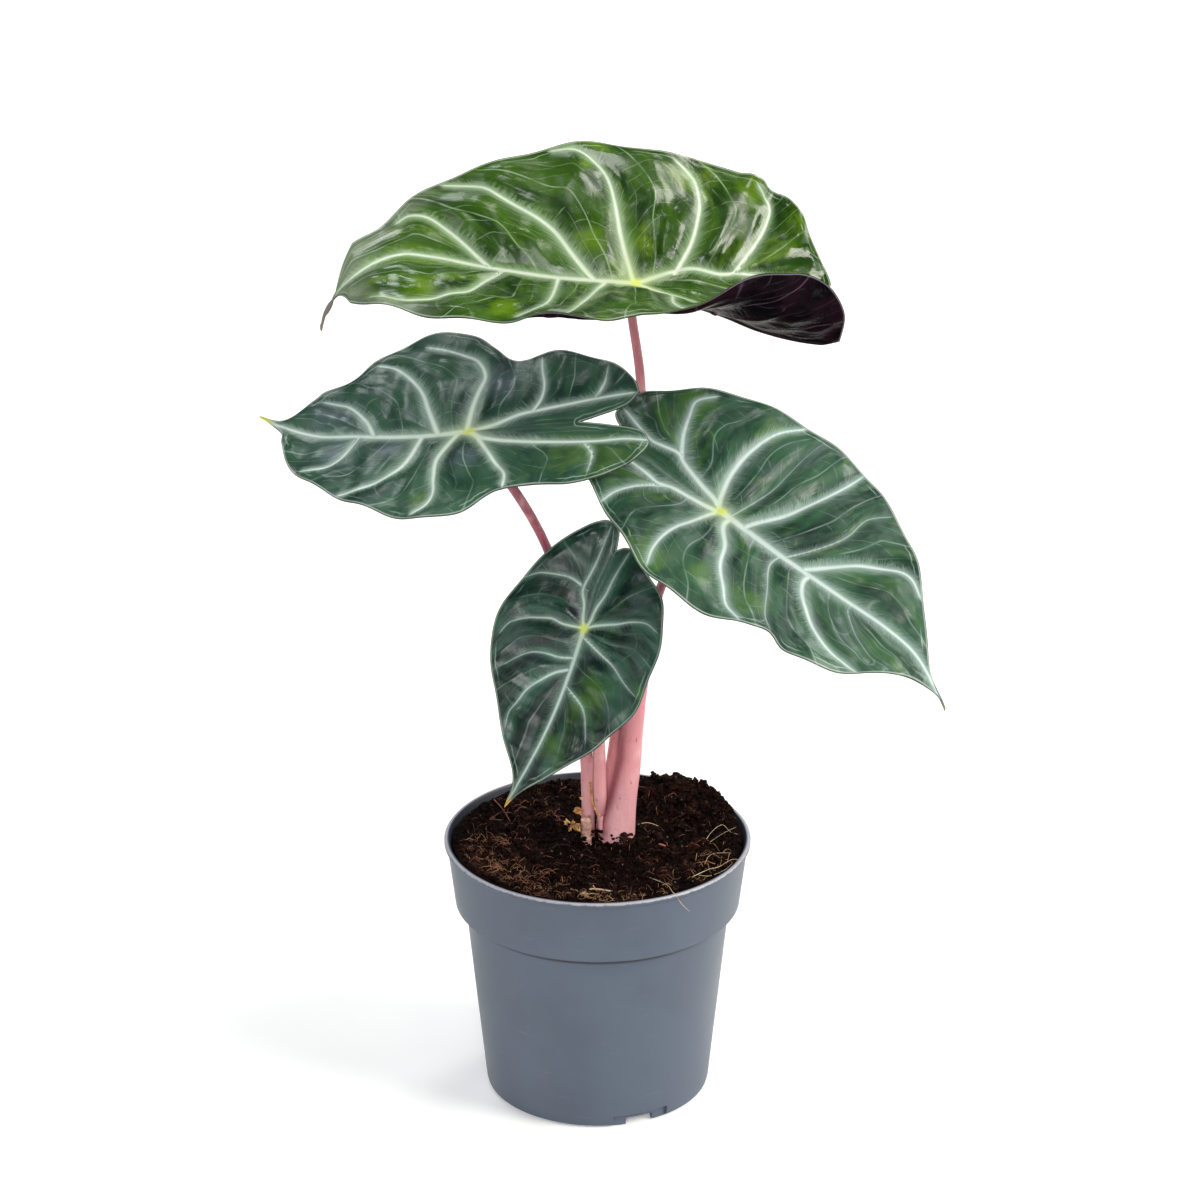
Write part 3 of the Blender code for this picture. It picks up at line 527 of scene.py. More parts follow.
def settle(obj, mat):
    """Give the object the mesh that its modifiers make, with one smooth material."""
    graph = bpy.context.evaluated_depsgraph_get()
    mesh = bpy.data.meshes.new_from_object(obj.evaluated_get(graph))
    obj.modifiers.clear()
    obj.data = mesh
    mesh.materials.clear()
    mesh.materials.append(mat)
    mesh.shade_smooth()
    return mesh


def store(mesh, name, values, domain):
    layer = mesh.attributes.new(name, "FLOAT", domain)
    layer.data.foreach_set("value", values.astype(np.float32))


def along(table, x):
    """Values at x of a smooth curve through the (x, value) rows, or a single value."""
    if isinstance(table, int):
        return np.full(np.shape(x), float(table))
    knots, values = np.array(table, float).T
    last = len(knots) - 1
    index = np.arange(last + 1)
    after, before = np.minimum(index + 1, last), np.maximum(index - 1, 0)
    slopes = (values[after] - values[before]) / (knots[after] - knots[before])
    i = np.clip(np.searchsorted(knots, x, side="right") - 1, 0, last - 1)
    w = knots[i + 1] - knots[i]
    t = np.clip((x - knots[i]) / w, 0.0, 1.0)
    value = values[i] * (1 + 2 * t) * (1 - t) ** 2 + values[i + 1] * t * t * (3 - 2 * t)
    return value + w * slopes[i] * t * (1 - t) ** 2 + w * slopes[i + 1] * t * t * (t - 1)


def rounded(points, per_span=8):
    """Dense smooth line through the points, which may hold two or more numbers each."""
    line = []
    last = len(points) - 1
    for i in range(last):
        a, b = points[max(i - 1, 0)], points[i]
        c, d = points[i + 1], points[min(i + 2, last)]
        for k in range(per_span):
            t = k / per_span
            line.append(tuple(
                0.5 * (2 * q + (r - p) * t + (2 * p - 5 * q + 4 * r - s) * t * t
                       + (3 * q - p - 3 * r + s) * t ** 3)
                for p, q, r, s in zip(a, b, c, d)))
    line.append(tuple(points[last]))
    return line


def pick(line, shares):
    """Points of the line at the given shares of its length."""
    rows = np.array(line, float)
    reach = np.concatenate([[0], np.cumsum(np.linalg.norm(np.diff(rows[:, :3], axis=0), axis=1))])
    goal = np.asarray(shares) * reach[-1]
    return np.stack([np.interp(goal, reach, column) for column in rows.T], axis=1)


def length(line):
    return float(np.linalg.norm(np.diff(np.array(line, float)[:, :3], axis=0), axis=1).sum())


def grain(x, y, seed):
    """Smooth random field between -1 and 1 with a cell size of one unit."""
    table = np.random.RandomState(seed).uniform(-1, 1, (64, 64))
    i, j = np.floor(x).astype(int), np.floor(y).astype(int)
    u, v = x - i, y - j
    u, v = u * u * (3 - 2 * u), v * v * (3 - 2 * v)
    low, high = (table[i % 64, k % 64] * (1 - u) + table[(i + 1) % 64, k % 64] * u for k in (j, j + 1))
    return low * (1 - v) + high * v


def nearest(x, y, line):
    """Distance to the line, how far along it, and on which side, for every point."""
    a, b = line[:-1], line[1:]
    run = b - a
    size = np.linalg.norm(run, axis=1)
    start = np.concatenate([[0], np.cumsum(size)[:-1]])
    best = np.full(x.shape, np.inf)
    reach, turn = np.zeros(x.shape), np.zeros(x.shape)
    for (ax, ay), (rx, ry), long, begin in zip(a, run, size, start):
        px, py = x - ax, y - ay
        t = np.clip((px * rx + py * ry) / long ** 2, 0.0, 1.0)
        far = np.hypot(px - t * rx, py - t * ry)
        closer = far < best - 1e-9
        best = np.where(closer, far, best)
        reach = np.where(closer, begin + t * long, reach)
        turn = np.where(closer, rx * py - ry * px, turn)
    return best, reach, turn


class Sheet:
    """Bends a blade's flat sheet into its place in the scene, all points at once."""

    def __init__(self, blade):
        self.blade = blade
        turn, lift, roll = (math.radians(blade[k]) for k in ("heading", "lift", "roll"))
        out = Vector((math.cos(turn) * math.cos(lift), math.sin(turn) * math.cos(lift), math.sin(lift)))
        up = Vector((0, 0, 1))
        level = (up - up.dot(out) * out).normalized()
        up = level * math.cos(roll) + level.cross(out) * math.sin(roll)
        self.out, self.up, self.side = (np.array(v) for v in (out, up, up.cross(out)))
        self.hub = np.array(blade["hub"]) / MM
        self.steps = np.linspace(*SHEET_STEPS)
        pitch = np.radians(along(blade["pitch"], self.steps))
        self.reach, self.drop = (self.summed(v) for v in (np.cos(pitch), -np.sin(pitch)))

    def summed(self, slope):
        """Distance gone by each step with this slope, counted from the hub."""
        gap = self.steps[1] - self.steps[0]
        total = np.concatenate([[0], np.cumsum((slope[1:] + slope[:-1]) * gap / 2)])
        return total - np.interp(0, self.steps, total)

    def place(self, x, y):
        """Points in millimetres and upward directions of the sheet at flat x, y."""
        reach, drop = np.interp(x, self.steps, self.reach), np.interp(x, self.steps, self.drop)
        pitch = np.radians(along(self.blade["pitch"], x))
        middle = along(self.blade["midrib"], x)
        far = np.abs(y - middle)
        half = np.where(y >= middle, 1.0, -1.0)
        rise, curl = (np.where(half > 0, along(self.blade[key][1], x), along(self.blade[key][-1], x))
                      for key in ("rise", "curl"))

        def turned(d):
            return np.radians(rise * np.minimum(1.0, d / CREASE) + curl * (d / CURL_WIDTH) ** 2)

        across, lift = np.zeros(x.shape), np.zeros(x.shape)
        for k in range(BEND_PARTS):
            angle = turned(far * (k + 0.5) / BEND_PARTS)
            across += np.cos(angle) * far / BEND_PARTS
            lift += np.sin(angle) * far / BEND_PARTS
        angle = turned(far)
        top = np.multiply.outer(np.sin(pitch), self.out) + np.multiply.outer(np.cos(pitch), self.up)
        point = self.hub + np.multiply.outer(reach, self.out) + np.multiply.outer(drop, self.up)
        point += top * lift[..., None] + np.multiply.outer(middle + half * across, self.side)
        normal = top * np.cos(angle)[..., None] - np.multiply.outer(half * np.sin(angle), self.side)
        return point, normal


def blade_grids(blade, side):
    """Flat grids of one half, from spine to edge and from lobe rib to cleft, and the lines they follow."""
    fine_tip, fine_lobe, outer_rows, inner_rows = blade["cells"]
    joined, parted = JOINED_STEPS * fine_lobe, LOBE_STEPS * fine_lobe
    tip_steps, lobe_steps = TIP_STEPS * fine_tip, joined + parted
    tip_end, lobe_end = blade["midrib"][-1], blade["lobe"][side][-1]
    stations = [(x, float(along(blade["midrib"], x))) for x in STATIONS if x < tip_end[0] - 4]
    midrib = rounded(stations + [tip_end])
    lobe = rounded(((0, 0),) + blade["lobe"][side])
    tip_share = length(midrib) / (length(midrib) + length(lobe))
    spine = np.concatenate([pick(midrib[::-1], np.linspace(0, 1, tip_steps + 1)),
                            pick(lobe, np.linspace(0, 1, lobe_steps + 1)[1:])])
    shares = np.concatenate([np.linspace(0, tip_share, tip_steps + 1),
                             np.linspace(tip_share, 1, lobe_steps + 1)[1:]])
    outline = rounded((tip_end, *blade["edge"][side], lobe_end))
    cleft = rounded((blade["sinus"], *blade["cleft"][side], lobe_end))
    axis = np.linspace(0, 1, joined + 1)[:-1, None] * np.array([blade["sinus"]], float)
    inner = np.concatenate([axis, pick(cleft, np.linspace(0, 1, parted + 1))])
    found = []
    for start, end, runs, rows, outer in (
            (spine, pick(outline, shares), shares * length(outline), outer_rows, True),
            (spine[tip_steps:], inner, np.zeros(len(inner)), inner_rows, False)):
        share = np.linspace(0, 1, rows + 1)
        grid = start[:, None, :] + (end - start)[:, None, :] * share[None, :, None]
        across = np.broadcast_to(share, grid.shape[:2])
        wide = np.linalg.norm(end - start, axis=1)[:, None]
        found.append({
            "x": grid[..., 0], "y": grid[..., 1], "outer": outer,
            "share": across if outer else np.zeros_like(across),
            "run": np.broadcast_to(runs[:, None], across.shape),
            "rib": np.exp(-((wide * share / RIB_WIDTH) ** 2)) * np.minimum(1.0, wide / RIB_FADE),
        })
    return found, np.array(outline), np.array(cleft), np.array(midrib)


def vein_line(points, beyond=0.0):
    """Vein as a smooth line, carried on past its end by a straight piece."""
    line = np.array(rounded(points, 5))
    if beyond:
        ahead = line[-1] - line[-3]
        line = np.concatenate([line, [line[-1] + ahead / np.linalg.norm(ahead) * beyond]])
    return line


def vein_fields(blade, side, grid, outline, cleft, midrib):
    """For every grid point: sector number and width, and the distances to its vein, its spine and the rim."""
    x, y = grid["x"], grid["y"]
    none = np.zeros(x.shape)
    ways, sides, widths = [], [], []
    for start, end, points in blade["veins"][side]:
        far, reach, turn = nearest(x, y, vein_line(points, beyond=25.0))
        long = length(vein_line(points))
        share = np.clip(reach / long, 0, 1)
        ways.append(far)
        sides.append(-side * turn > 0)
        widths.append((start + (end - start) * share ** 0.7) * np.clip(1 - (reach - long) / 4.0, 0, 1))
    middle, reach, _ = nearest(x, y, midrib)
    start, end = blade["spine"]
    thick = start + (end - start) * (reach / length(midrib)) ** 0.7
    thick = np.where(ways[0] < middle, widths[0], thick)
    widths[0] = none
    if grid["outer"]:
        sector = np.zeros(x.shape, int)
        open_still = np.ones(x.shape, bool)
        for tip_side in sides[1:]:
            open_still &= tip_side
            sector += open_still
        low, high = np.choose(sector, ways), np.choose(sector, ways[1:] + [middle])
        low_width, high_width = np.choose(sector, widths), np.choose(sector, widths[1:] + [none])
    else:
        sector = np.full(x.shape, -1)
        low = nearest(x, y, np.concatenate([[(0.0, 0.0)], cleft]))[0]
        high, low_width, high_width = ways[0], none, none
    wide = low + high + 1e-6
    rim = np.minimum(nearest(x, y, outline)[0], nearest(x, y, cleft)[0])
    return {"sector": sector + low / wide, "wide": wide, "width": np.where(low < high, low_width, high_width),
            "middle": np.minimum(middle, ways[0]), "thick": thick, "rim": rim}


def off_vein(field):
    """Distance to the nearest side vein."""
    return np.abs(field["sector"] - np.round(field["sector"])) * field["wide"]


def tip_size(blade, x):
    """Share of its full size that the blade keeps at x: less than one only where it ends in a thread."""
    start, end, share = blade.get("thread", (900, 901, 1))
    return 1 + (share - 1) * np.clip((x - start) / (end - start), 0, 1)


def rolled(blade, side, grid, field):
    """Height of the places where the margin rolls up or bulges."""
    height = np.zeros(grid["x"].shape)
    for where, centre, width, rise, depth in blade.get("rolls", ()):
        if where == side and grid["outer"]:
            height += rise * np.exp(-(((grid["x"] - centre) / width) ** 4 + (field["rim"] / depth) ** 2))
    return height


def relief(blade, grid, field, seed):
    """Height of the upper face over the plain sheet: sunken veins, quilted cells and fine streaks."""
    x, y, sector, wide, middle = grid["x"], grid["y"], field["sector"], field["wide"], field["middle"]
    near_vein = off_vein(field)
    both = np.minimum(near_vein, middle)
    edge = np.clip(field["rim"] / 4.0, 0, 1)
    quilt, waves = blade["quilt"]
    pillow = quilt * (1 - np.exp(-((both / 5.5) ** 2))) * edge
    room = np.clip(wide / 14.0, 0, 1) * (1 - np.exp(-((both / 3.0) ** 2))) * edge
    wander = 0.12 * grain(x / 9, y / 9, seed + 1)
    scale = np.clip(wide / 22.0, 0, 1)
    cords = blade["cords"] * np.cos(2 * np.pi * 3 * (sector + wander)) * room * scale
    streak = grain(sector * 8 + wander * 12, middle / 13, seed + 2)
    streak += 0.5 * grain(sector * 17 + wander * 20, middle / 9, seed + 3)
    puckers = blade["puckers"] * streak * room * scale
    swell = waves * grain(x / 13, y / 13, seed + 4) * room
    swell += 0.20 * grain(x / 5, y / 5, seed + 5) * room
    groove = -0.30 * np.exp(-((near_vein / (field["width"] + 0.25)) ** 2)) * np.clip(field["width"] / 0.8, 0, 1)
    return pillow + cords + puckers + swell + groove


def blade_sides(blade, sheet, side, grid, field, seed):
    """Points of the upper and of the lower side over one grid."""
    run, share = grid["run"], grid["share"]
    size, spine = tip_size(blade, grid["x"]), along(blade["midrib"], grid["x"])
    point, normal = sheet.place(grid["x"], spine + (grid["y"] - spine) * size)
    height, period, phase = blade["wave"]
    swell = np.sin(2 * np.pi * run / period + phase) * share ** 2 * height
    swell += 0.35 * np.sin(4 * np.pi * run / period) * np.sin(np.pi * share)
    point = point + normal * (swell + rolled(blade, side, grid, field))[..., None]
    raised = relief(blade, grid, field, seed) * size
    ribs = 0.5 * field["width"] * np.exp(-((off_vein(field) / (field["width"] + 0.2)) ** 2))
    thick = EDGE_THICKNESS + (BLADE_THICKNESS - EDGE_THICKNESS) * np.clip(field["rim"] / 5, 0, 1)
    thick = (thick + grid["rib"] * RIB_THICKNESS + ribs) * (0.15 + 0.85 * size)
    return point + normal * raised[..., None], point + normal * (0.7 * raised - thick)[..., None]


def grid_quads(shape, start, flip):
    """Faces of a grid whose first point has the number start."""
    index = start + np.arange(shape[0] * shape[1]).reshape(shape)
    quads = np.stack([index[:-1, :-1], index[:-1, 1:], index[1:, 1:], index[1:, :-1]], axis=-1).reshape(-1, 4)
    return quads[:, ::-1] if flip else quads


def welded(quads, index):
    """Faces over the welded points, and the grid point that each of their corners comes from."""
    faces, sources = [], []
    for quad in quads.tolist():
        ring = {}
        for corner in quad:
            ring.setdefault(int(index[corner]), corner)
        if len(ring) > 2:
            faces.append(list(ring))
            sources.append(list(ring.values()))
    return faces, sources


def closed(faces, sources, total):
    """Upper faces, the same ones below, total points further on, and the rim between them."""
    shell, origin = list(faces), list(sources)
    edges, at_edge = set(), {}
    for ring, source in zip(faces, sources):
        edges.update(zip(ring, ring[1:] + ring[:1]))
        at_edge.update(zip(ring, source))
        shell.append([c + total for c in reversed(ring)])
        origin.append(source[::-1])
    for a, b in edges:
        if (b, a) not in edges:
            shell.append([b, a, a + total, b + total])
            origin.append([at_edge[b], at_edge[a], at_edge[a], at_edge[b]])
    return shell, origin


def make_blade(name, upper, under, seed):
    """Both sides of a blade from fine grids, with the vein distances kept for its material."""
    blade = BLADES[name]
    sheet = Sheet(blade)
    rows = []
    count = 0
    for side in (1, -1):
        grids, *lines = blade_grids(blade, side)
        for grid in grids:
            field = vein_fields(blade, side, grid, *lines)
            tops, downs = blade_sides(blade, sheet, side, grid, field, seed)
            flat = np.stack([grid["x"], grid["y"]], axis=-1)
            values = np.stack([field[key] for key in FIELDS], axis=-1)
            quads = grid_quads(grid["x"].shape, count, (side == 1) != grid["outer"])
            rows.append([v.reshape(-1, v.shape[-1]) for v in (tops, downs, flat, values, quads)])
            count += grid["x"].size
    tops, downs, flat, values, quads = (np.concatenate(v) for v in zip(*rows))
    _, first, index = np.unique(np.round(flat, 3), axis=0, return_index=True, return_inverse=True)
    faces, sources = welded(quads, index.reshape(-1))
    shell, origin = closed(faces, sources, len(first))
    mesh = bpy.data.meshes.new("leaf_" + name)
    mesh.from_pydata((np.concatenate([tops[first], downs[first]]) * MM).tolist(), [], shell)
    corners = np.array([c for ring in origin for c in ring])
    for k, key in enumerate(FIELDS):
        store(mesh, key, values[corners, k], "CORNER")
    layer = mesh.attributes.new("flat", "FLOAT_VECTOR", "CORNER")
    spots = np.concatenate([flat[corners], np.full((len(corners), 1), float(seed))], axis=1)
    layer.data.foreach_set("vector", spots.astype(np.float32).ravel())
    mesh.materials.append(upper)
    mesh.materials.append(under)
    slots = np.zeros(len(shell), np.int32)
    slots[len(faces):2 * len(faces)] = 1
    mesh.polygons.foreach_set("material_index", slots)
    mesh.shade_smooth()
    mesh.set_sharp_from_angle(angle=math.radians(60))
    hand_over(put("leaf_" + name, mesh), "blade", "blade_" + name)


def stripes(g, sector, wide, count, half, soft):
    """Lines at equal shares of each sector, count to a sector, half a line wide in millimetres."""
    share = g.math("FRACT", sector * count + (0.5 if count % 2 == 0 else 0.0))
    return g.fall(abs(share - 0.5) * (wide / count), half, half + soft)


def patches(g, m, uneven, spots):
    """Mask of soft uneven patches, each given by its place and radius in the flat blade."""
    found = 0.0
    for x, y, radius in spots:
        away = g.away(m.x - x, m.y - y) + uneven * (1.4 * radius)
        found = g.most(found, g.fall(away, 0.80 * radius, 1.70 * radius))
    return found


def rib_masks(g, m, reach, bold):
    """Core, hairy fringe and channel of the ribs and veins. The hairs lean outwards along each vein."""
    found = []
    for off, half, along_it, across_it, seed in (
            (abs(m.sector - g.math("ROUND", m.sector)) * m.wide, m.width * bold, m.middle, m.sector * 3.0, 3.0),
            (m.middle, m.thick * bold, m.x, m.middle * 0.18, 0.0)):
        hairs = g.noise(g.join((off * -0.9 + along_it) * 2.3, across_it, seed), 1.35, 3.0, 0.8)
        half = g.most(half, 0.02)
        share = off / half
        core = g.fall(share, 0.10, 0.98) * g.step(half, 0.05, 0.8)
        span = (half * 1.3 + 0.6) * g.step(hairs, 0.30, 0.74, 0.75 * reach, 2.5 * reach)
        glow = g.most(1.0 - g.most(off - half * 0.35, 0.0) / span, 0.0)
        glow = g.math("POWER", glow, 1.8) * g.step(half, 0.20, 0.65)
        found.append((core, glow, g.fall(share, 0.10, 0.30)))
    m.core, m.glow = (g.most(found[0][k], found[1][k]) for k in (0, 1))
    m.channel = found[1][2] * g.step(m.thick, 0.6, 1.2)


def thin_masks(g, m):
    """Thin veins between the main ones, hooked ones that bend from vein to vein, and the margin lines."""
    bent = m.sector + (g.noise(m.flat, 0.05, 0.0) - 0.5) * 0.30
    patch = g.noise(m.flat, 0.06, 2.0)
    thin = stripes(g, bent, m.wide, 1, 0.10, 0.34) * g.step(m.wide, 8.0, 12.0)
    thin = thin * g.step(g.noise(m.flat, 0.11, 1.0), 0.36, 0.60, 0.35, 1.0)
    fine = stripes(g, bent, m.wide, 4, 0.03, 0.20) * g.step(patch, 0.50, 0.62)
    part = g.math("FRACT", m.sector)
    climb = (m.middle - part * (1.0 - part) * (m.wide * 1.5)) / HOOK_GAP + g.noise(m.flat, 0.08, 1.0) * 1.2
    hooks = g.fall(abs(g.math("FRACT", climb) - 0.5) * HOOK_GAP, 0.05, 0.26)
    hooks = hooks * g.step(g.noise(m.flat, 0.16, 1.0), 0.38, 0.62)
    m.thin = g.most(thin, g.most(fine * 0.40, hooks * 0.60))
    m.margin = g.fall(abs(m.rim - (m.blot * 1.8 + 1.3)), 0.06, 0.36) * g.step(patch, 0.44, 0.58)


def blade_masks(g, reach=1.0, bold=1.0):
    """Places on the blade and the masks by which its two sides are painted."""
    m = SimpleNamespace(**{key: g.read(key) for key in FIELDS})
    m.flat = g.read("flat", "Vector")
    m.x, m.y, _ = g.split(m.flat)
    m.hub = g.away(m.x, m.y)
    m.blot = g.noise(m.flat, 0.22, 2.0, 0.5)
    rib_masks(g, m, reach, bold)
    thin_masks(g, m)
    m.lip = g.step(m.rim, 0.10, 0.26) * g.fall(m.rim, 0.45, 0.80)
    m.edge = g.fall(m.rim, 0.08, 0.24)
    return m


def blade_green(g, m, look):
    """Colour between the veins: bands of green, patches of bright green partly of the blade's own lime tone and
    partly painted light shining through, slate clouds partly of its own tone and partly painted sheen, and a
    painted grey sheen.
    """
    deep = look["deep"]
    bands = g.noise(g.join(m.sector * 3.2, m.middle * 0.045, 7.0), 1.0, 3.0, 0.6, 0.3)
    cells = g.noise(m.flat, 0.15, 3.0, 0.6)
    grit = g.noise(m.flat, 1.7, 3.0, 0.7)
    tone = bands * 0.6 + g.noise(m.flat, 0.040, 2.0, 0.55, 0.6) * 0.4
    # Bright green patches: partly the blade's own lime tone, partly painted light shining through the blade.
    lime_and_backlight = g.noise(g.join(m.sector * 2.3, m.middle * 0.042, 31.0), 1.0, 3.0, 0.55, 0.5) * 0.80 + cells * 0.20
    level = g.step(m.x, *look["lime_and_backlight"])
    if "shade" in look:
        level = level + g.step(m.y, *look["shade"]) * 0.22
    lime_and_backlight = g.most(g.step(lime_and_backlight, level, level + 0.17), patches(g, m, cells, look["lime_and_backlight_spots"]))
    g.colour = g.mix(g.step(tone, 0.41, 0.60), deep, look["mid"])
    g.paint((g.step(tone, 0.45, 0.34) * 0.65, tuple(0.45 * c for c in deep)),
            (lime_and_backlight * 0.85, look["bright"]),
            (g.step(grit, 0.50, 0.75) * 0.03, look["vein"]))
    # Slate clouds: partly the blade's own bluish slate tone, partly painted soft sheen.
    if "slate_and_sheen" in look:
        start, end, slate_and_sheen = look["slate_and_sheen"]
        cloud = g.step(g.noise(m.flat, 0.075, 3.0, 0.6, 0.8), 0.47, 0.66) * g.step(m.x, start, end)
        cloud = g.most(cloud * look["cloudy"], patches(g, m, cells, look["slate_and_sheen_spots"]))
        g.paint((cloud * 0.70, slate_and_sheen))
    # Painted grey sheen along the margin before the tip and over the tip's end.
    if "grey" in look:
        start, end, grey = look["grey"]
        painted_sheen = g.most(g.step(m.x, start, end) * g.step(m.rim, 10.0, 1.0), g.step(m.x, end - 8, end + 14))
        g.paint((painted_sheen * g.step(bands, 0.35, 0.65, 0.35, 0.75), grey))


def blade_upper(name, look):
    """Glossy upper face, green under pale hairy veins, with yellow round the hub."""
    g = Graph("leaf_upper_" + name)
    m = blade_masks(g, look["reach"], look["bold"])
    blade_green(g, m, look)
    halo = look["halo"]
    glow = m.glow * look["glow"]
    ribbed = g.most(m.core, glow)
    near_hub = g.math("EXPONENT", m.hub * -look["fade"])
    start, end, tip = look["tip"]
    g.paint((m.thin * look["thin"], halo),
            (m.margin * 0.45, halo),
            (glow, halo),
            (m.core * 0.92, look["vein"]),
            (m.channel * 0.34, look["channel"]),
            (m.lip * 0.75, look["lip"]),
            (m.edge * 0.60, (0.020, 0.024, 0.018)),
            (near_hub * ribbed * 0.8, (0.58, 0.68, 0.20)),
            (g.step(m.blot * 2.0 + m.hub / look["hub"], 1.2, 4.0, 0.95, 0.0), (0.62, 0.70, 0.12)),
            (g.step(m.x, start, end), tip))
    streaks = g.noise(g.join(m.sector * 13.0, m.middle * 0.09, 1.0), 1.0, 2.0, 0.55, 0.5)
    wet = g.noise(m.flat, 0.17, 2.0, 0.5, 0.6)
    rough = g.step(g.noise(m.flat, 0.08, 2.0), 0.35, 0.65, look["gloss"] - 0.06, look["gloss"] + 0.08)
    g.shader.inputs["Specular IOR Level"].default_value = look["shine"]
    return g.finish(roughness=ribbed * 0.12 + rough, normal=g.bump(streaks * 0.20 + wet * 0.45, 0.0010, 0.55))


def blade_under(name, look):
    """Dark maroon underside, almost black, with slightly lighter ribs."""
    g = Graph("leaf_under_" + name)
    m = blade_masks(g)
    broad = g.noise(m.flat, 0.06, 3.0, 0.6)
    start, end, tip = look["tip"]
    g.colour = g.mix(g.step(broad, 0.38, 0.68), (0.0008, 0.0002, 0.0010), (0.0090, 0.0019, 0.0048))
    g.paint((m.core * 0.16, (0.16, 0.08, 0.13)),
            (m.thin * 0.40, (0.14, 0.08, 0.12)),
            (m.lip * 0.6, (0.24, 0.22, 0.25)),
            (g.step(m.x, start, end), tip))
    g.shader.inputs["Specular IOR Level"].default_value = 0.04
    return g.finish(roughness=g.step(broad, 0.3, 0.7, 0.20, 0.34),
                    normal=g.bump(g.noise(m.flat, 0.4, 3.0, 0.6), 0.0007, 0.6))


def tube_arrays(line, radii, sides, shape=None):
    """Points and faces of a closed tube; shape(ring share, angle) scales the radius."""
    centres = np.asarray(line, float)
    ahead = np.gradient(centres, axis=0)
    ahead /= np.linalg.norm(ahead, axis=1)[:, None]
    aside = np.array([0.0, 1.0, 0.0] if abs(ahead[0, 0]) > 0.9 else [1.0, 0.0, 0.0])
    angle = 2 * np.pi * np.arange(sides) / sides
    points = []
    for k, (centre, way, radius) in enumerate(zip(centres, ahead, radii)):
        aside = aside - way * aside.dot(way)
        aside /= np.linalg.norm(aside)
        other = np.cross(way, aside)
        size = radius * (shape(k / (len(centres) - 1), angle) if shape else np.ones(sides))
        points.append(centre + np.outer(size * np.cos(angle), aside) + np.outer(size * np.sin(angle), other))
    last = (len(centres) - 1) * sides
    faces = []
    for start in range(0, last, sides):
        for k in range(sides):
            a, b = start + k, start + (k + 1) % sides
            faces.append((a, b, b + sides, a + sides))
    faces.append(tuple(reversed(range(sides))))
    faces.append(tuple(range(last, last + sides)))
    return np.concatenate(points), faces


def add_piece(name, points, faces, mat, slot, *replaced, sharp=60):
    mesh = bpy.data.meshes.new(name)
    mesh.from_pydata(np.asarray(points).tolist(), [], faces)
    mesh.shade_smooth()
    mesh.set_sharp_from_angle(angle=math.radians(sharp))
    mesh.materials.append(mat)
    obj = put(name, mesh)
    hand_over(obj, slot, *replaced)
    return obj


def petiole_material():
    """Pink fleshy stem, darker rose higher up, with fine lengthwise lines and dark flecks; the fold is darker
    rose partly of its own and partly painted shade, the seam is painted shade between stems.
    """
    g = Graph("petiole_skin")
    place = g.place()
    x, _, z = g.split(place)
    long = g.noise(g.scaled(place, (900, 900, 30)), 1.0, 3.0, 0.6)
    broad = g.noise(g.scaled(place, (110, 110, 60)), 1.0, 2.0, 0.6)
    flecks = g.noise(g.scaled(place, (1100, 1100, 420)), 1.0, 1.0, 0.5)
    ripple = g.noise(g.scaled(place, (240, 240, 1500)), 1.0, 2.0, 0.6)
    aside = g.most(g.step(x, -0.006, -0.014), g.step(x, 0.0175, 0.0215)) * g.step(z, 0.155, 0.200)
    g.colour = g.mix(g.step(z, 0.105, 0.150), (0.79, 0.41, 0.425), (0.67, 0.255, 0.280))
    g.paint((g.step(z, 0.150, 0.235), (0.44, 0.135, 0.155)),
            (aside * 0.95, (0.23, 0.042, 0.070)),
            (g.step(long, 0.42, 0.72) * 0.16, (0.46, 0.15, 0.18)),
            (g.step(broad, 0.48, 0.72) * 0.30, (0.92, 0.60, 0.56)),
            # Painted shade in the fold's groove, over the fold's own darker rose.
            (g.read("fold") * 0.88, (0.29, 0.070, 0.085)),
            # Painted shade in the crevice where two stems meet.
            (g.read("seam") * 0.75, (0.24, 0.070, 0.070)),
            (g.read("scar") * 0.60, (0.74, 0.36, 0.16)),
            (g.step(flecks, 0.70, 0.76) * 0.55, (0.20, 0.05, 0.05)),
            (g.step(ripple, 0.54, 0.68) * 0.22, (0.60, 0.22, 0.25)))
    return g.finish(roughness=g.step(broad, 0.3, 0.7, 0.36, 0.52), subsurface_weight=0.12,
                    subsurface_scale=0.002, normal=g.bump(long * 0.4 + ripple * 0.7, 0.0004, 0.45))


def bark_material():
    """Dry bark of the cut stub: tan with dark cross marks."""
    g = Graph("stub_bark")
    place = g.place()
    marks = g.noise(g.scaled(place, (260, 260, 1500)), 1.0, 3.0, 0.6)
    broad = g.noise(place, 300.0, 2.0)
    g.colour = g.mix(g.step(broad, 0.35, 0.65), (0.50, 0.26, 0.20), (0.74, 0.44, 0.37))
    g.paint((g.step(marks, 0.55, 0.66) * 0.75, (0.09, 0.030, 0.022)))
    return g.finish(roughness=0.75, normal=g.bump(marks, 0.0008, 0.8))


def dry_material():
    """Golden brown papery remains of old leaf sheaths."""
    g = Graph("dry_sheath")
    tone = g.noise(g.place(), 420.0, 3.0, 0.6)
    g.colour = g.mix(g.step(tone, 0.38, 0.64), (0.30, 0.12, 0.035), (0.68, 0.40, 0.15))
    return g.finish(roughness=0.65, normal=g.bump(tone, 0.0006, 0.7))


def petiole_path(name):
    """Path of a petiole, with the last two rows square to its blade and just under its rib."""
    point, normal = Sheet(BLADES[name]).place(np.array([0.0]), np.array([0.0]))
    near = point[0] - normal[0] * (BLADE_THICKNESS + RIB_THICKNESS + SEATS[name])
    before = near - normal[0] * TOP_REACH
    return PETIOLES[name] + ((*before, TOP_RADIUS), (*near, TOP_RADIUS))


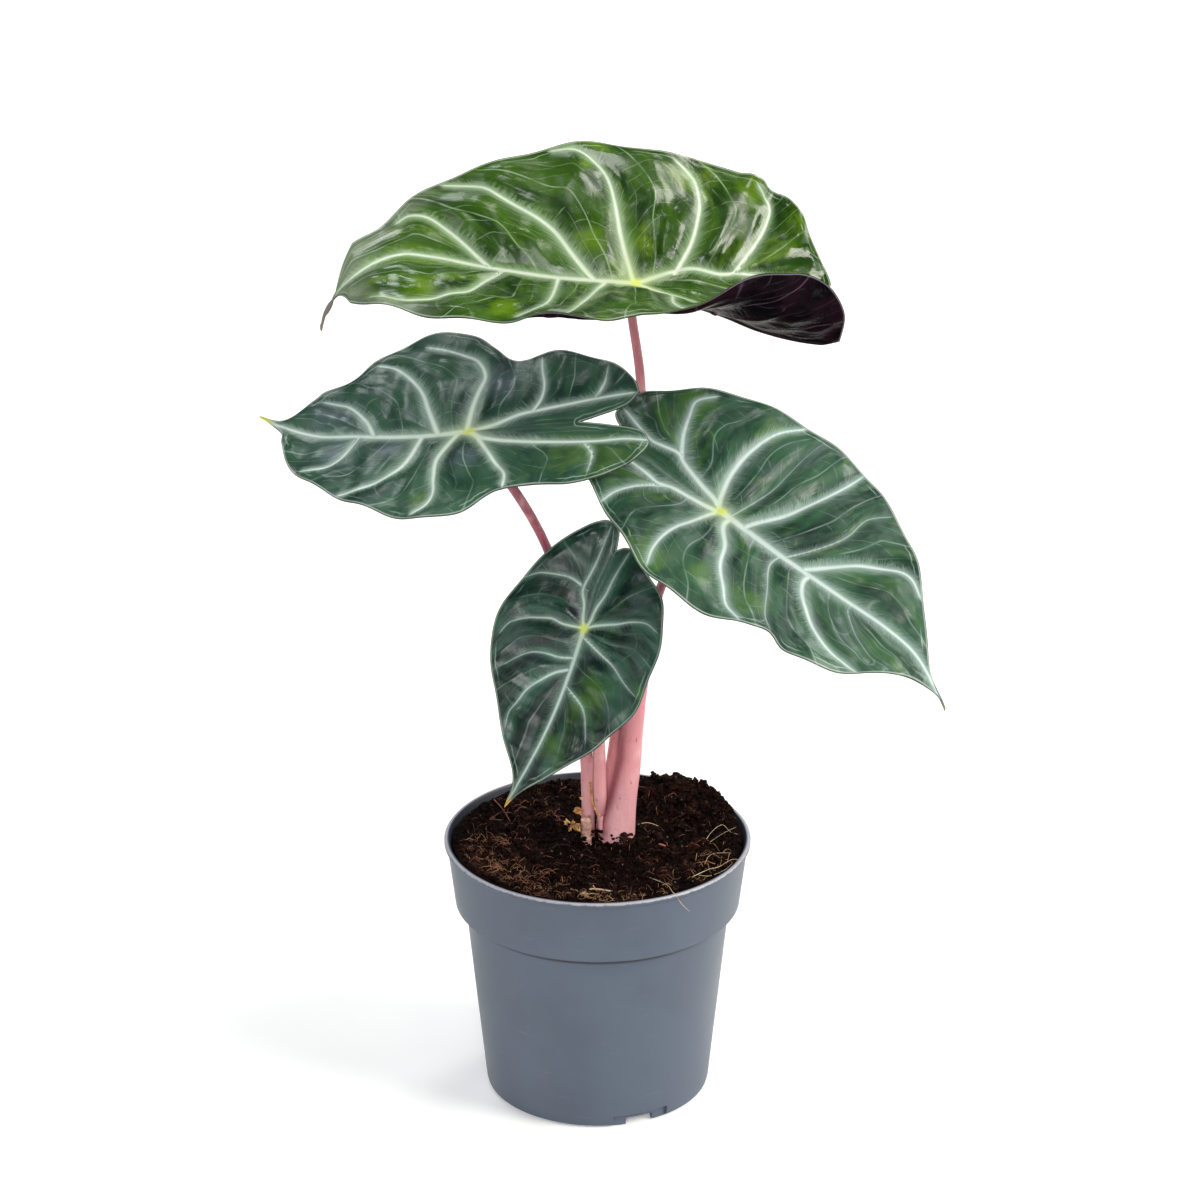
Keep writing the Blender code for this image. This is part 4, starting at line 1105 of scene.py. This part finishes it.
def make_petioles(mat):
    def shape(share, angle):
        wobble = 0.018 * np.sin(3 * angle + 5 * share) + 0.012 * np.sin(7 * angle + 9 * share)
        return 1 + wobble + 0.010 * math.sin(40 * share)

    for name in PETIOLES:
        rows = pick(rounded(petiole_path(name)), np.linspace(0, 1, PETIOLE_RINGS + 1))
        slim = 1 - SLIM.get(name, 0.0) * np.clip((122 - rows[:, 2]) / 12, 0, 1)
        points, faces = tube_arrays(rows[:, :3] * MM, rows[:, 3] * slim * MM, PETIOLE_SIDES, shape)
        add_piece("stem_" + name, points, faces, mat, "petiole", "petiole_" + name)


def make_stub(mat):
    """Cut stump of an old leaf with a ragged top."""
    def ragged(share, angle):
        rings = 0.05 * math.sin(60 * share) + 0.03 * math.sin(141 * share + 1)
        return 1 + rings + 0.04 * np.sin(4 * angle + 6 * share) + 0.03 * np.sin(9 * angle - 11 * share)

    rows = pick(rounded(STUB), np.linspace(0, 1, STUB_RINGS + 1))
    points, faces = tube_arrays(rows[:, :3] * MM, rows[:, 3] * MM, PETIOLE_SIDES, ragged)
    turn = 2 * np.pi * np.arange(PETIOLE_SIDES) / PETIOLE_SIDES
    points[-PETIOLE_SIDES:, 2] += MM * (0.5 * np.sin(3 * turn) + 0.45 * np.sin(7 * turn + 1))
    add_piece("stem_stub", points, faces, mat, "petiole", "petiole_stub", sharp=40)


def sheath_tubes():
    """Tubes round the petioles, and one more at the foot, that the fused sheath is made from."""
    parts = []
    for name, grown in SHEATH.items():
        rows = pick(rounded(PETIOLES.get(name, FOOT)), np.linspace(0, 1, 400))
        rows = rows[(rows[:, 2] > grown[0][0]) & (rows[:, 2] < grown[-1][0])]
        radii = rows[:, 3] + np.interp(rows[:, 2], *zip(*grown))
        parts.append(tube_arrays(rows[::2, :3] * MM, radii[::2] * MM, PETIOLE_SIDES))
    return join_lists(parts)


def make_stem_base(mat):
    """Fused sheath round the foot of the petioles, smoothed where they meet and marked along its grooves, where
    painted shade goes in the fold and the seam.
    """
    obj = add_piece("stem_base", *sheath_tubes(), mat, "petiole")
    modify(obj, "REMESH", mode="VOXEL", voxel_size=0.00040)
    modify(obj, "SMOOTH", factor=0.5, iterations=22)
    mesh = settle(obj, mat)
    spots = np.empty(len(mesh.vertices) * 3)
    mesh.vertices.foreach_get("co", spots)
    spots = spots.reshape(-1, 3) / MM
    for name, (line, width) in STEM_MARKS.items():
        x, z = np.array(line, float).T
        off = spots[:, 0] - np.interp(spots[:, 2], z[::-1], x[::-1])
        ends = np.clip((spots[:, 2] - z[-1]) / 3, 0, 1) * np.clip((z[0] - spots[:, 2]) / 3, 0, 1)
        store(mesh, name, np.exp(-((off / width) ** 2)) * ends * (spots[:, 1] < 8), "POINT")
    return spots


def front_spot(spots, x, z):
    """Point of the surface seen from the front at x, z in millimetres."""
    near = spots[(np.abs(spots[:, 0] - x) < 0.7) & (np.abs(spots[:, 2] - z) < 0.7)]
    return np.array((x, near[:, 1].min() if len(near) else 0.0, z))


def make_scar(spots, mat):
    """Dry golden edge of a sheath across the front of the stems."""
    line = np.array(rounded([front_spot(spots, x, z) for x, z in SCAR]))
    radii = 0.32 * (1 + 0.3 * np.sin(np.arange(len(line)) * 1.3))
    add_piece("dry_edge", *tube_arrays(line * MM, radii * MM, 8), mat, "petiole")


def flake_faces(rows, columns):
    """Faces of both sides of a small sheet and of its rim."""
    half, last = rows * columns, (rows - 1) * columns
    faces = []
    for i in range(rows - 1):
        for k in range(columns - 1):
            a = i * columns + k
            b, c, d = a + 1, a + columns + 1, a + columns
            faces += [(a, b, c, d), (a + half, d + half, c + half, b + half)]
    ring = list(range(columns)) + [columns * i + columns - 1 for i in range(1, rows)]
    ring += [last + k for k in range(columns - 2, -1, -1)] + [columns * i for i in range(rows - 2, 0, -1)]
    return faces + [(b, a, a + half, b + half) for a, b in zip(ring, ring[1:] + ring[:1])]


def make_flakes(mat):
    """Curled papery flakes beside the stub."""
    rng = np.random.RandomState(21)
    across, down = np.meshgrid(np.linspace(-1, 1, FLAKE_COLUMNS), np.linspace(-1, 1, FLAKE_ROWS))
    faces = flake_faces(FLAKE_ROWS, FLAKE_COLUMNS)
    parts = []
    for x, y, z, size, count in FLAKES:
        for _ in range(count):
            bend = rng.uniform(0.3, 0.9)
            ragged = 1 + 0.25 * rng.uniform(-1, 1, across.shape)
            height = bend * across ** 2 + 0.2 * np.sin(4 * down)
            sheet = np.stack([across * ragged, down * 0.6 * ragged, height], axis=-1).reshape(-1, 3)
            both = np.concatenate([sheet, sheet - (0, 0, FLAKE_THICKNESS)])
            both = turned_at_random(both * size * rng.uniform(0.6, 1.1), rng)
            centre = np.array((x, y, z)) + rng.normal(0, 0.45 * size, 3)
            parts.append(((both + centre) * MM, faces))
    add_piece("dry_flakes", *join_lists(parts), mat, "petiole")


def hill(x, y, centre_x, centre_y, wide_x, wide_y):
    """Round hill of height one."""
    return math.exp(-(((x - centre_x) / wide_x) ** 2 + ((y - centre_y) / wide_y) ** 2))


def bumps(x, y, fineness, shift):
    return noise.noise(Vector((x * fineness, y * fineness, shift)))


def soil_height(x, y):
    """Loose mounded top: heaped above the rim at the back right, a little low elsewhere."""
    rise = 0.0012 * (math.hypot(x, y) / 0.055) ** 2
    return SOIL_LEVEL + 0.0088 * hill(x, y, *HEAP) + rise + 0.0017 * bumps(x, y, 90, 3.7)


def rough_soil(x, y):
    """Soil height with the crumbs of its surface, pushed up to the rim at both sides."""
    crumb = 0.0016 * (0.4 - abs(bumps(x, y, 260, 8.1)))
    crumb += 0.0013 * (0.3 - abs(bumps(x, y, 640, 2.2)))
    crumb += 0.0005 * bumps(x, y, 1500, 5.4)
    pushed = sum(height * hill(x, y, *where) for height, *where in PUSHED_UP)
    return soil_height(x, y) + crumb + pushed


def soil_material(name, deep, mid, warm):
    g = Graph(name)
    place = g.place()
    fine = g.noise(place, 900.0, 4.0, 0.7)
    broad = g.noise(place, 120.0, 3.0, 0.6)
    fibres = g.noise(g.scaled(place, (1500, 300, 900)), 1.0, 2.0, 0.6)
    specks = g.noise(place, 520.0, 1.0, 0.5)
    g.colour = g.mix(g.step(fine, 0.35, 0.7), deep, mid)
    g.paint((g.step(broad, 0.5, 0.75) * 0.6, warm),
            (g.step(fibres, 0.66, 0.74) * 0.4, (0.14, 0.050, 0.022)),
            (g.step(specks, 0.70, 0.76) * 0.6, (0.17, 0.125, 0.110)))
    g.shader.inputs["Specular IOR Level"].default_value = 0.05
    return g.finish(roughness=g.step(fine, 0.3, 0.7, 0.5, 0.9), normal=g.bump(fine, 0.0009, 0.9))


def make_soil(mat):
    """Closed plug with a crumbly top."""
    turns = [2 * math.pi * k / SOIL_SPOKES for k in range(SOIL_SPOKES)]
    around = [(math.cos(angle), math.sin(angle)) for angle in turns]
    points, faces = [(0, 0, rough_soil(0, 0))], []
    for i in range(1, SOIL_RINGS + 1):
        r = SOIL_RADIUS * i / SOIL_RINGS
        points += [(r * c, r * s, rough_soil(r * c, r * s)) for c, s in around]
    points += [(r * c, r * s, z) for r, z in SOIL_WALL for c, s in around]
    points.append((0, 0, SOIL_WALL[-1][1]))
    base, last = 1 + (SOIL_RINGS + len(SOIL_WALL) - 1) * SOIL_SPOKES, len(points) - 1
    for k in range(SOIL_SPOKES):
        n = (k + 1) % SOIL_SPOKES
        faces.append((0, 1 + k, 1 + n))
        for start in range(1, base, SOIL_SPOKES):
            a, b = start + k, start + n
            faces.append((a, a + SOIL_SPOKES, b + SOIL_SPOKES, b))
        faces.append((last, base + n, base + k))
    add_piece("peat", points, faces, mat, "peat", "soil", sharp=80)


def crumb_shape(detail, rng):
    """Unit lump with an uneven surface."""
    shape = bmesh.new()
    bmesh.ops.create_icosphere(shape, subdivisions=detail, radius=1.0)
    points = np.array([v.co for v in shape.verts])
    faces = [tuple(v.index for v in f.verts) for f in shape.faces]
    shape.free()
    return points * rng.uniform(0.45, 1.35, (len(points), 1)), faces


def turned_at_random(points, rng):
    turn = Matrix.Rotation(rng.uniform(0, 6.28), 3, "X") @ Matrix.Rotation(rng.uniform(0, 6.28), 3, "Z")
    return points @ np.array(turn)


def join_lists(parts):
    points, faces, count = [], [], 0
    for some, rings in parts:
        points.append(some)
        faces.extend(tuple(c + count for c in ring) for ring in rings)
        count += len(some)
    return np.concatenate(points), faces


def clear_of_stems(x, y, size):
    return all(math.hypot(x / MM - a, y / MM - b) > r + size / MM * 0.6 for a, b, r in STEM_FEET)


def loose_crumb(rng, small, large):
    """Crumb pressed into the surface, larger on the heap. None where it would touch the pot or a stem."""
    r, angle = 0.0562 * math.sqrt(rng.uniform()), rng.uniform(0, 2 * math.pi)
    x, y = r * math.cos(angle), r * math.sin(angle)
    heaped = hill(x, y, *HEAP)
    big = rng.uniform() < 0.12 + 0.12 * heaped
    size = rng.uniform(0.0010, 0.0017 + 0.0008 * heaped) if big else rng.uniform(0.0003, 0.0010)
    if r + size > CRUMB_EDGE or not clear_of_stems(x, y, size):
        return None
    points, faces = (large if big else small)[rng.randint(CRUMB_SHAPES)]
    flat = np.array([1.0, rng.uniform(0.6, 1.0), rng.uniform(0.5, 0.9)])
    points = turned_at_random(points * flat, rng) * size
    return points + (x, y, rough_soil(x, y) + 0.35 * size), faces


def piled_crumbs(rng, shapes):
    """Crumbs against the feet of the stems."""
    for x, y, z, wide in FOOT_CRUMBS:
        for _ in range(CRUMBS_AT_FEET):
            points, faces = shapes[rng.randint(CRUMB_SHAPES)]
            size = np.array([1.0, 0.5, 0.5]) * rng.uniform(0.0005, 0.0013)
            spot = np.array([x, y, z]) + rng.normal(0, 1, 3) * (wide, 0.4, wide * 0.8)
            yield turned_at_random(points * size, rng) + spot * MM, faces


def spiky_crumbs(rng, shapes):
    """Coarse bits that stick up at the back right of the rim."""
    for x, y, z in rng.normal(*SPIKES):
        points, faces = shapes[rng.randint(CRUMB_SHAPES)]
        spike = np.array([1.0, 0.35, 0.35]) * rng.uniform(0.0008, 0.0021)
        if math.hypot(x, y) < 0.0565:
            yield turned_at_random(points * spike, rng) + (x, y, soil_height(x, y) + abs(z)), faces


def make_crumbs(mat):
    """Loose peat crumbs all over the surface, against the stems and at the back of the rim."""
    rng = np.random.RandomState(11)
    small, large = ([crumb_shape(detail, rng) for _ in range(CRUMB_SHAPES)] for detail in (1, 2))
    parts = []
    while len(parts) < CRUMBS:
        crumb = loose_crumb(rng, small, large)
        if crumb:
            parts.append(crumb)
    parts += [*piled_crumbs(rng, large), *spiky_crumbs(rng, large)]
    add_piece("peat_crumbs", *join_lists(parts), mat, "peat")


def thread(x, y, heading, reach, lift, radius, rng):
    """Short curved fibre that lies on the soil."""
    points = []
    turn = rng.uniform(-0.6, 0.6)
    for share in np.arange(THREAD_RINGS) / (THREAD_RINGS - 1):
        points.append((x, y, rough_soil(x, y) + radius + lift * math.sin(math.pi * share) + 0.0003))
        x += math.cos(heading + turn * share * 2) * reach / (THREAD_RINGS - 1)
        y += math.sin(heading + turn * share * 2) * reach / (THREAD_RINGS - 1)
    return tube_arrays(points, radius * np.linspace(1.0, 0.5, THREAD_RINGS), 4)


def laid(points, radius):
    """Root or straw along points. Their third value is a height over the peat, or over the base if above 50."""
    spots = [(x, y, z if z > 50 else rough_soil(x * MM, y * MM) / MM + z + radius) for x, y, z in points]
    line = np.array(rounded(spots, 7))
    taper = np.interp(np.linspace(0, 1, len(line)), (0, 0.1, 0.8, 1), (0.7, 1, 0.8, 0.35))
    return tube_arrays(line * MM, radius * taper * MM, 7)


def fibre_material(name, light, dark, scale):
    g = Graph(name)
    place = g.place()
    g.colour = g.mix(g.step(g.noise(place, scale, 2.0, 0.6), 0.35, 0.65), dark, light)
    return g.finish(roughness=0.7, normal=g.bump(g.noise(place, 2500.0), 0.0002, 0.5))


def scattered(rng, count, place, lengths, lift, thickness):
    """Fibres at spots given by place(), clear of the stems and of the pot's wall."""
    found = []
    while len(found) < count:
        r, angle = place()
        reach = rng.uniform(*lengths)
        x, y = r * math.cos(angle), r * math.sin(angle)
        heading = rng.uniform(0, 2 * math.pi)
        if math.hypot(x + math.cos(heading) * reach, y + math.sin(heading) * reach) > 0.055:
            continue
        if clear_of_stems(x, y, 0.003):
            found.append(thread(x, y, heading, reach, rng.uniform(0, lift), rng.uniform(*thickness), rng))
    return found


def make_fibres():
    rng = np.random.RandomState(5)

    def patch(count, near, middle, spread, *size):
        return scattered(rng, count, lambda: (rng.uniform(near, FIBRE_EDGE), rng.normal(middle, spread)), *size)

    spread = scattered(rng, 220, lambda: (0.054 * math.sqrt(rng.uniform()), rng.uniform(0, 6.283)),
                       (0.002, 0.007), 0.0012, (0.00007, 0.00015))
    tangle = patch(230, 0.034, 3.75, 0.42, (0.002, 0.007), 0.0014, (0.00005, 0.00011))
    front = patch(90, 0.043, 4.75, 0.40, (0.002, 0.008), 0.0012, (0.00007, 0.00014))
    right = patch(18, 0.040, 5.85, 0.30, (0.003, 0.010), 0.0020, (0.00007, 0.00015))
    red, pale = ([laid(points, radius) for points, radius, tone in ROOTS if tone == kind]
                 for kind in ("red", "pale"))
    for name, parts, *look in (
            ("peat_fibres", spread + tangle[::2] + red,
             "fibre_brown", (0.30, 0.095, 0.055), (0.05, 0.014, 0.008), 160.0),
            ("gold_fibres", tangle[1::2] + front + right,
             "fibre_gold", (0.52, 0.29, 0.130), (0.13, 0.050, 0.022), 140.0),
            ("pale_roots", pale, "root_pale", (0.74, 0.60, 0.41), (0.42, 0.29, 0.17), 120.0)):
        add_piece(name, *join_lists(parts), fibre_material(*look), "peat")


def pot_material():
    """Blue-grey moulded plastic with faint scuffs and dust, paler on the rim's top from wear and a painted
    highlight, with painted shade on the inner wall and a painted shadow under the collar.
    """
    g = Graph("pot_plastic_wear_and_painted_light")
    place = g.place()
    x, y, z = g.split(place)
    out = g.away(x, y)
    speck = g.noise(place, 700.0, 3.0, 0.6)
    cloud = g.noise(place, 26.0, 3.0, 0.55)
    scuff = g.noise(g.scaled(place, (60, 60, 900)), 1.0, 2.0, 0.7)
    # Painted shade on the inner wall above the peat.
    inside = g.step(out + z * -0.124, 0.04548, 0.04508) * g.step(z, 0.0900, 0.0905)
    # Rim top paler, partly from wear and partly a painted highlight.
    rim_wear_and_highlight = g.step(z + speck * 0.0012, 0.1053, 0.1060) * g.step(out, 0.0585, 0.0590)
    # Painted shadow in the band under the collar's overhang.
    corner = g.step(z, 0.0752, 0.0766) * g.fall(z, 0.0786, 0.0792)
    dust = g.step(speck, 0.64, 0.70) * g.step(z, 0.098, 0.105, 0.05, 0.35)
    g.colour = g.mix(g.step(cloud, 0.35, 0.65), (0.058, 0.077, 0.111), (0.069, 0.091, 0.130))
    g.paint((g.step(scuff, 0.66, 0.74) * 0.16, (0.20, 0.22, 0.24)),
            (inside * 0.80, (0.012, 0.013, 0.016)),
            (rim_wear_and_highlight * 0.80, (0.50, 0.49, 0.54)),
            (corner * 0.95, (0.006, 0.008, 0.012)),
            (dust, (0.10, 0.07, 0.05)))
    return g.finish(roughness=g.step(cloud, 0.3, 0.7, 0.38, 0.50),
                    normal=g.bump(g.noise(place, 1400.0, 2.0), 0.0003, 0.12))


def ring_slice(name, inner, high, centre, width):
    """Cutter for the foot of the pot: part of a ring, width degrees long and centred at an angle."""
    outer = BASE_RADIUS + 0.006
    shape = bmesh.new()
    section = ((inner, CUT_BELOW), (outer, CUT_BELOW), (outer, high), (inner, high))
    face = shape.faces.new([shape.verts.new((r, 0, z)) for r, z in section])
    bmesh.ops.rotate(shape, verts=shape.verts, matrix=Matrix.Rotation(math.radians(centre - width / 2), 3, "Z"))
    bmesh.ops.spin(shape, geom=[face, *face.edges, *face.verts], axis=(0, 0, 1), cent=(0, 0, 0),
                   angle=math.radians(width), steps=12)
    bmesh.ops.recalc_face_normals(shape, faces=shape.faces)
    mesh = bpy.data.meshes.new(name)
    shape.to_mesh(mesh)
    shape.free()
    return put(name, mesh)


def pot_cutters():
    """Recesses and openings of the foot notches, and the drain holes."""
    cutters = []
    for i, centre in enumerate(NOTCH_CENTRES):
        cutters.append(ring_slice(f"recess_{i}", BASE_RADIUS - NOTCH_DEPTH, NOTCH_HEIGHT, centre, NOTCH_WIDTH))
        cutters.append(ring_slice(f"opening_{i}", BASE_RADIUS - OPENING_DEPTH, OPENING_HEIGHT,
                                  centre + OPENING_SHIFT, OPENING_WIDTH))
    for i in range(DRAIN_COUNT):
        angle = 2 * math.pi * (i + 0.5) / DRAIN_COUNT
        bpy.ops.mesh.primitive_cylinder_add(
            vertices=32, radius=DRAIN_RADIUS, depth=5 * POT_WALL,
            location=(DRAIN_RING * math.cos(angle), DRAIN_RING * math.sin(angle), FLOOR_LIFT))
        cutters.append(bpy.context.object)
    return cutters


def make_pot(mat):
    """Turned pot with its notches and drain holes cut out and its corners softened."""
    mesh = bpy.data.meshes.new("nursery_pot")
    mesh.from_pydata([(r, 0, z) for r, z in POT_SECTION], [(i, i + 1) for i in range(len(POT_SECTION) - 1)], [])
    obj = put("nursery_pot", mesh)
    modify(obj, "SCREW", steps=POT_FACETS, render_steps=POT_FACETS, use_merge_vertices=True,
           merge_threshold=0.00001)
    cutters = pot_cutters()
    for cutter in cutters:
        modify(obj, "BOOLEAN", operation="DIFFERENCE", solver="EXACT", object=cutter)
    settle(obj, mat).set_sharp_from_angle(angle=math.radians(35))
    for cutter in cutters:
        bpy.data.objects.remove(cutter, do_unlink=True)
    modify(obj, "BEVEL", width=0.00025, segments=2, limit_method="ANGLE", angle_limit=math.radians(40))
    hand_over(obj, "pot_plastic", "pot")


def soft_light(name, towards, strength, spread, colour):
    """Even light from far off, in the direction given from the plant, as wide as spread in degrees."""
    data = bpy.data.lights.new(name, "SUN")
    data.energy = strength
    data.angle = math.radians(spread)
    data.color = colour
    obj = put(name, data)
    obj.location = Vector(towards) * 2
    obj.rotation_euler = (-Vector(towards)).to_track_quat("-Z", "Y").to_euler()


def make_floor():
    g = Graph("floor_pale")
    g.colour = g.mix(g.noise(g.place(), 1.5, 2.0), (0.965, 0.965, 0.965), (0.975, 0.975, 0.975))
    mat = g.finish(roughness=0.9, emission_color=(1.0, 1.0, 1.0), emission_strength=FLOOR_GLOW)
    half = FLOOR_SIZE / 2
    mesh = bpy.data.meshes.new("floor")
    corners = [(-half, -half, 0), (half, -half, 0), (half, half, 0), (-half, half, 0)]
    mesh.from_pydata(corners, [], [range(4)])
    mesh.materials.append(mat)
    floor = put("floor", mesh)
    floor.location.z = -0.0002


def make_world():
    """Grey surroundings, a little lighter low down."""
    world = bpy.data.worlds.new("studio")
    bpy.context.scene.world = world
    world.use_nodes = True
    nodes, links = world.node_tree.nodes, world.node_tree.links
    split = nodes.new("ShaderNodeSeparateXYZ")
    links.new(nodes.new("ShaderNodeTexCoord").outputs["Generated"], split.inputs[0])
    fade = nodes.new("ShaderNodeMapRange")
    links.new(split.outputs["Z"], fade.inputs["Value"])
    for key, number in (("From Min", 0.15), ("From Max", 0.60), ("To Min", WORLD_LOW), ("To Max", WORLD_HIGH)):
        fade.inputs[key].default_value = number
    links.new(fade.outputs[0], nodes["Background"].inputs["Strength"])


def make_camera():
    data = bpy.data.cameras.new("camera")
    data.lens = CAMERA_LENS
    data.sensor_width = 36.0
    camera = put("camera", data)
    camera.location = CAMERA_PLACE
    camera.rotation_euler = (math.radians(CAMERA_TILT), 0, 0)
    bpy.context.scene.camera = camera
    bpy.context.scene.view_settings.view_transform = "Standard"


def main():
    for seed, name in enumerate(BLADES):
        make_blade(name, blade_upper(name, LOOKS[name]), blade_under(name, LOOKS[name]), 10 * seed + 3)
    skin, dry = petiole_material(), dry_material()
    make_petioles(skin)
    make_stub(bark_material())
    make_scar(make_stem_base(skin), dry)
    make_flakes(dry)
    make_soil(soil_material("peat_ground", *GROUND_COLOURS))
    make_crumbs(soil_material("peat_lumps", *LUMP_COLOURS))
    make_fibres()
    make_pot(pot_material())
    make_floor()
    make_world()
    for light in LIGHTS:
        soft_light(*light)
    make_camera()


main()
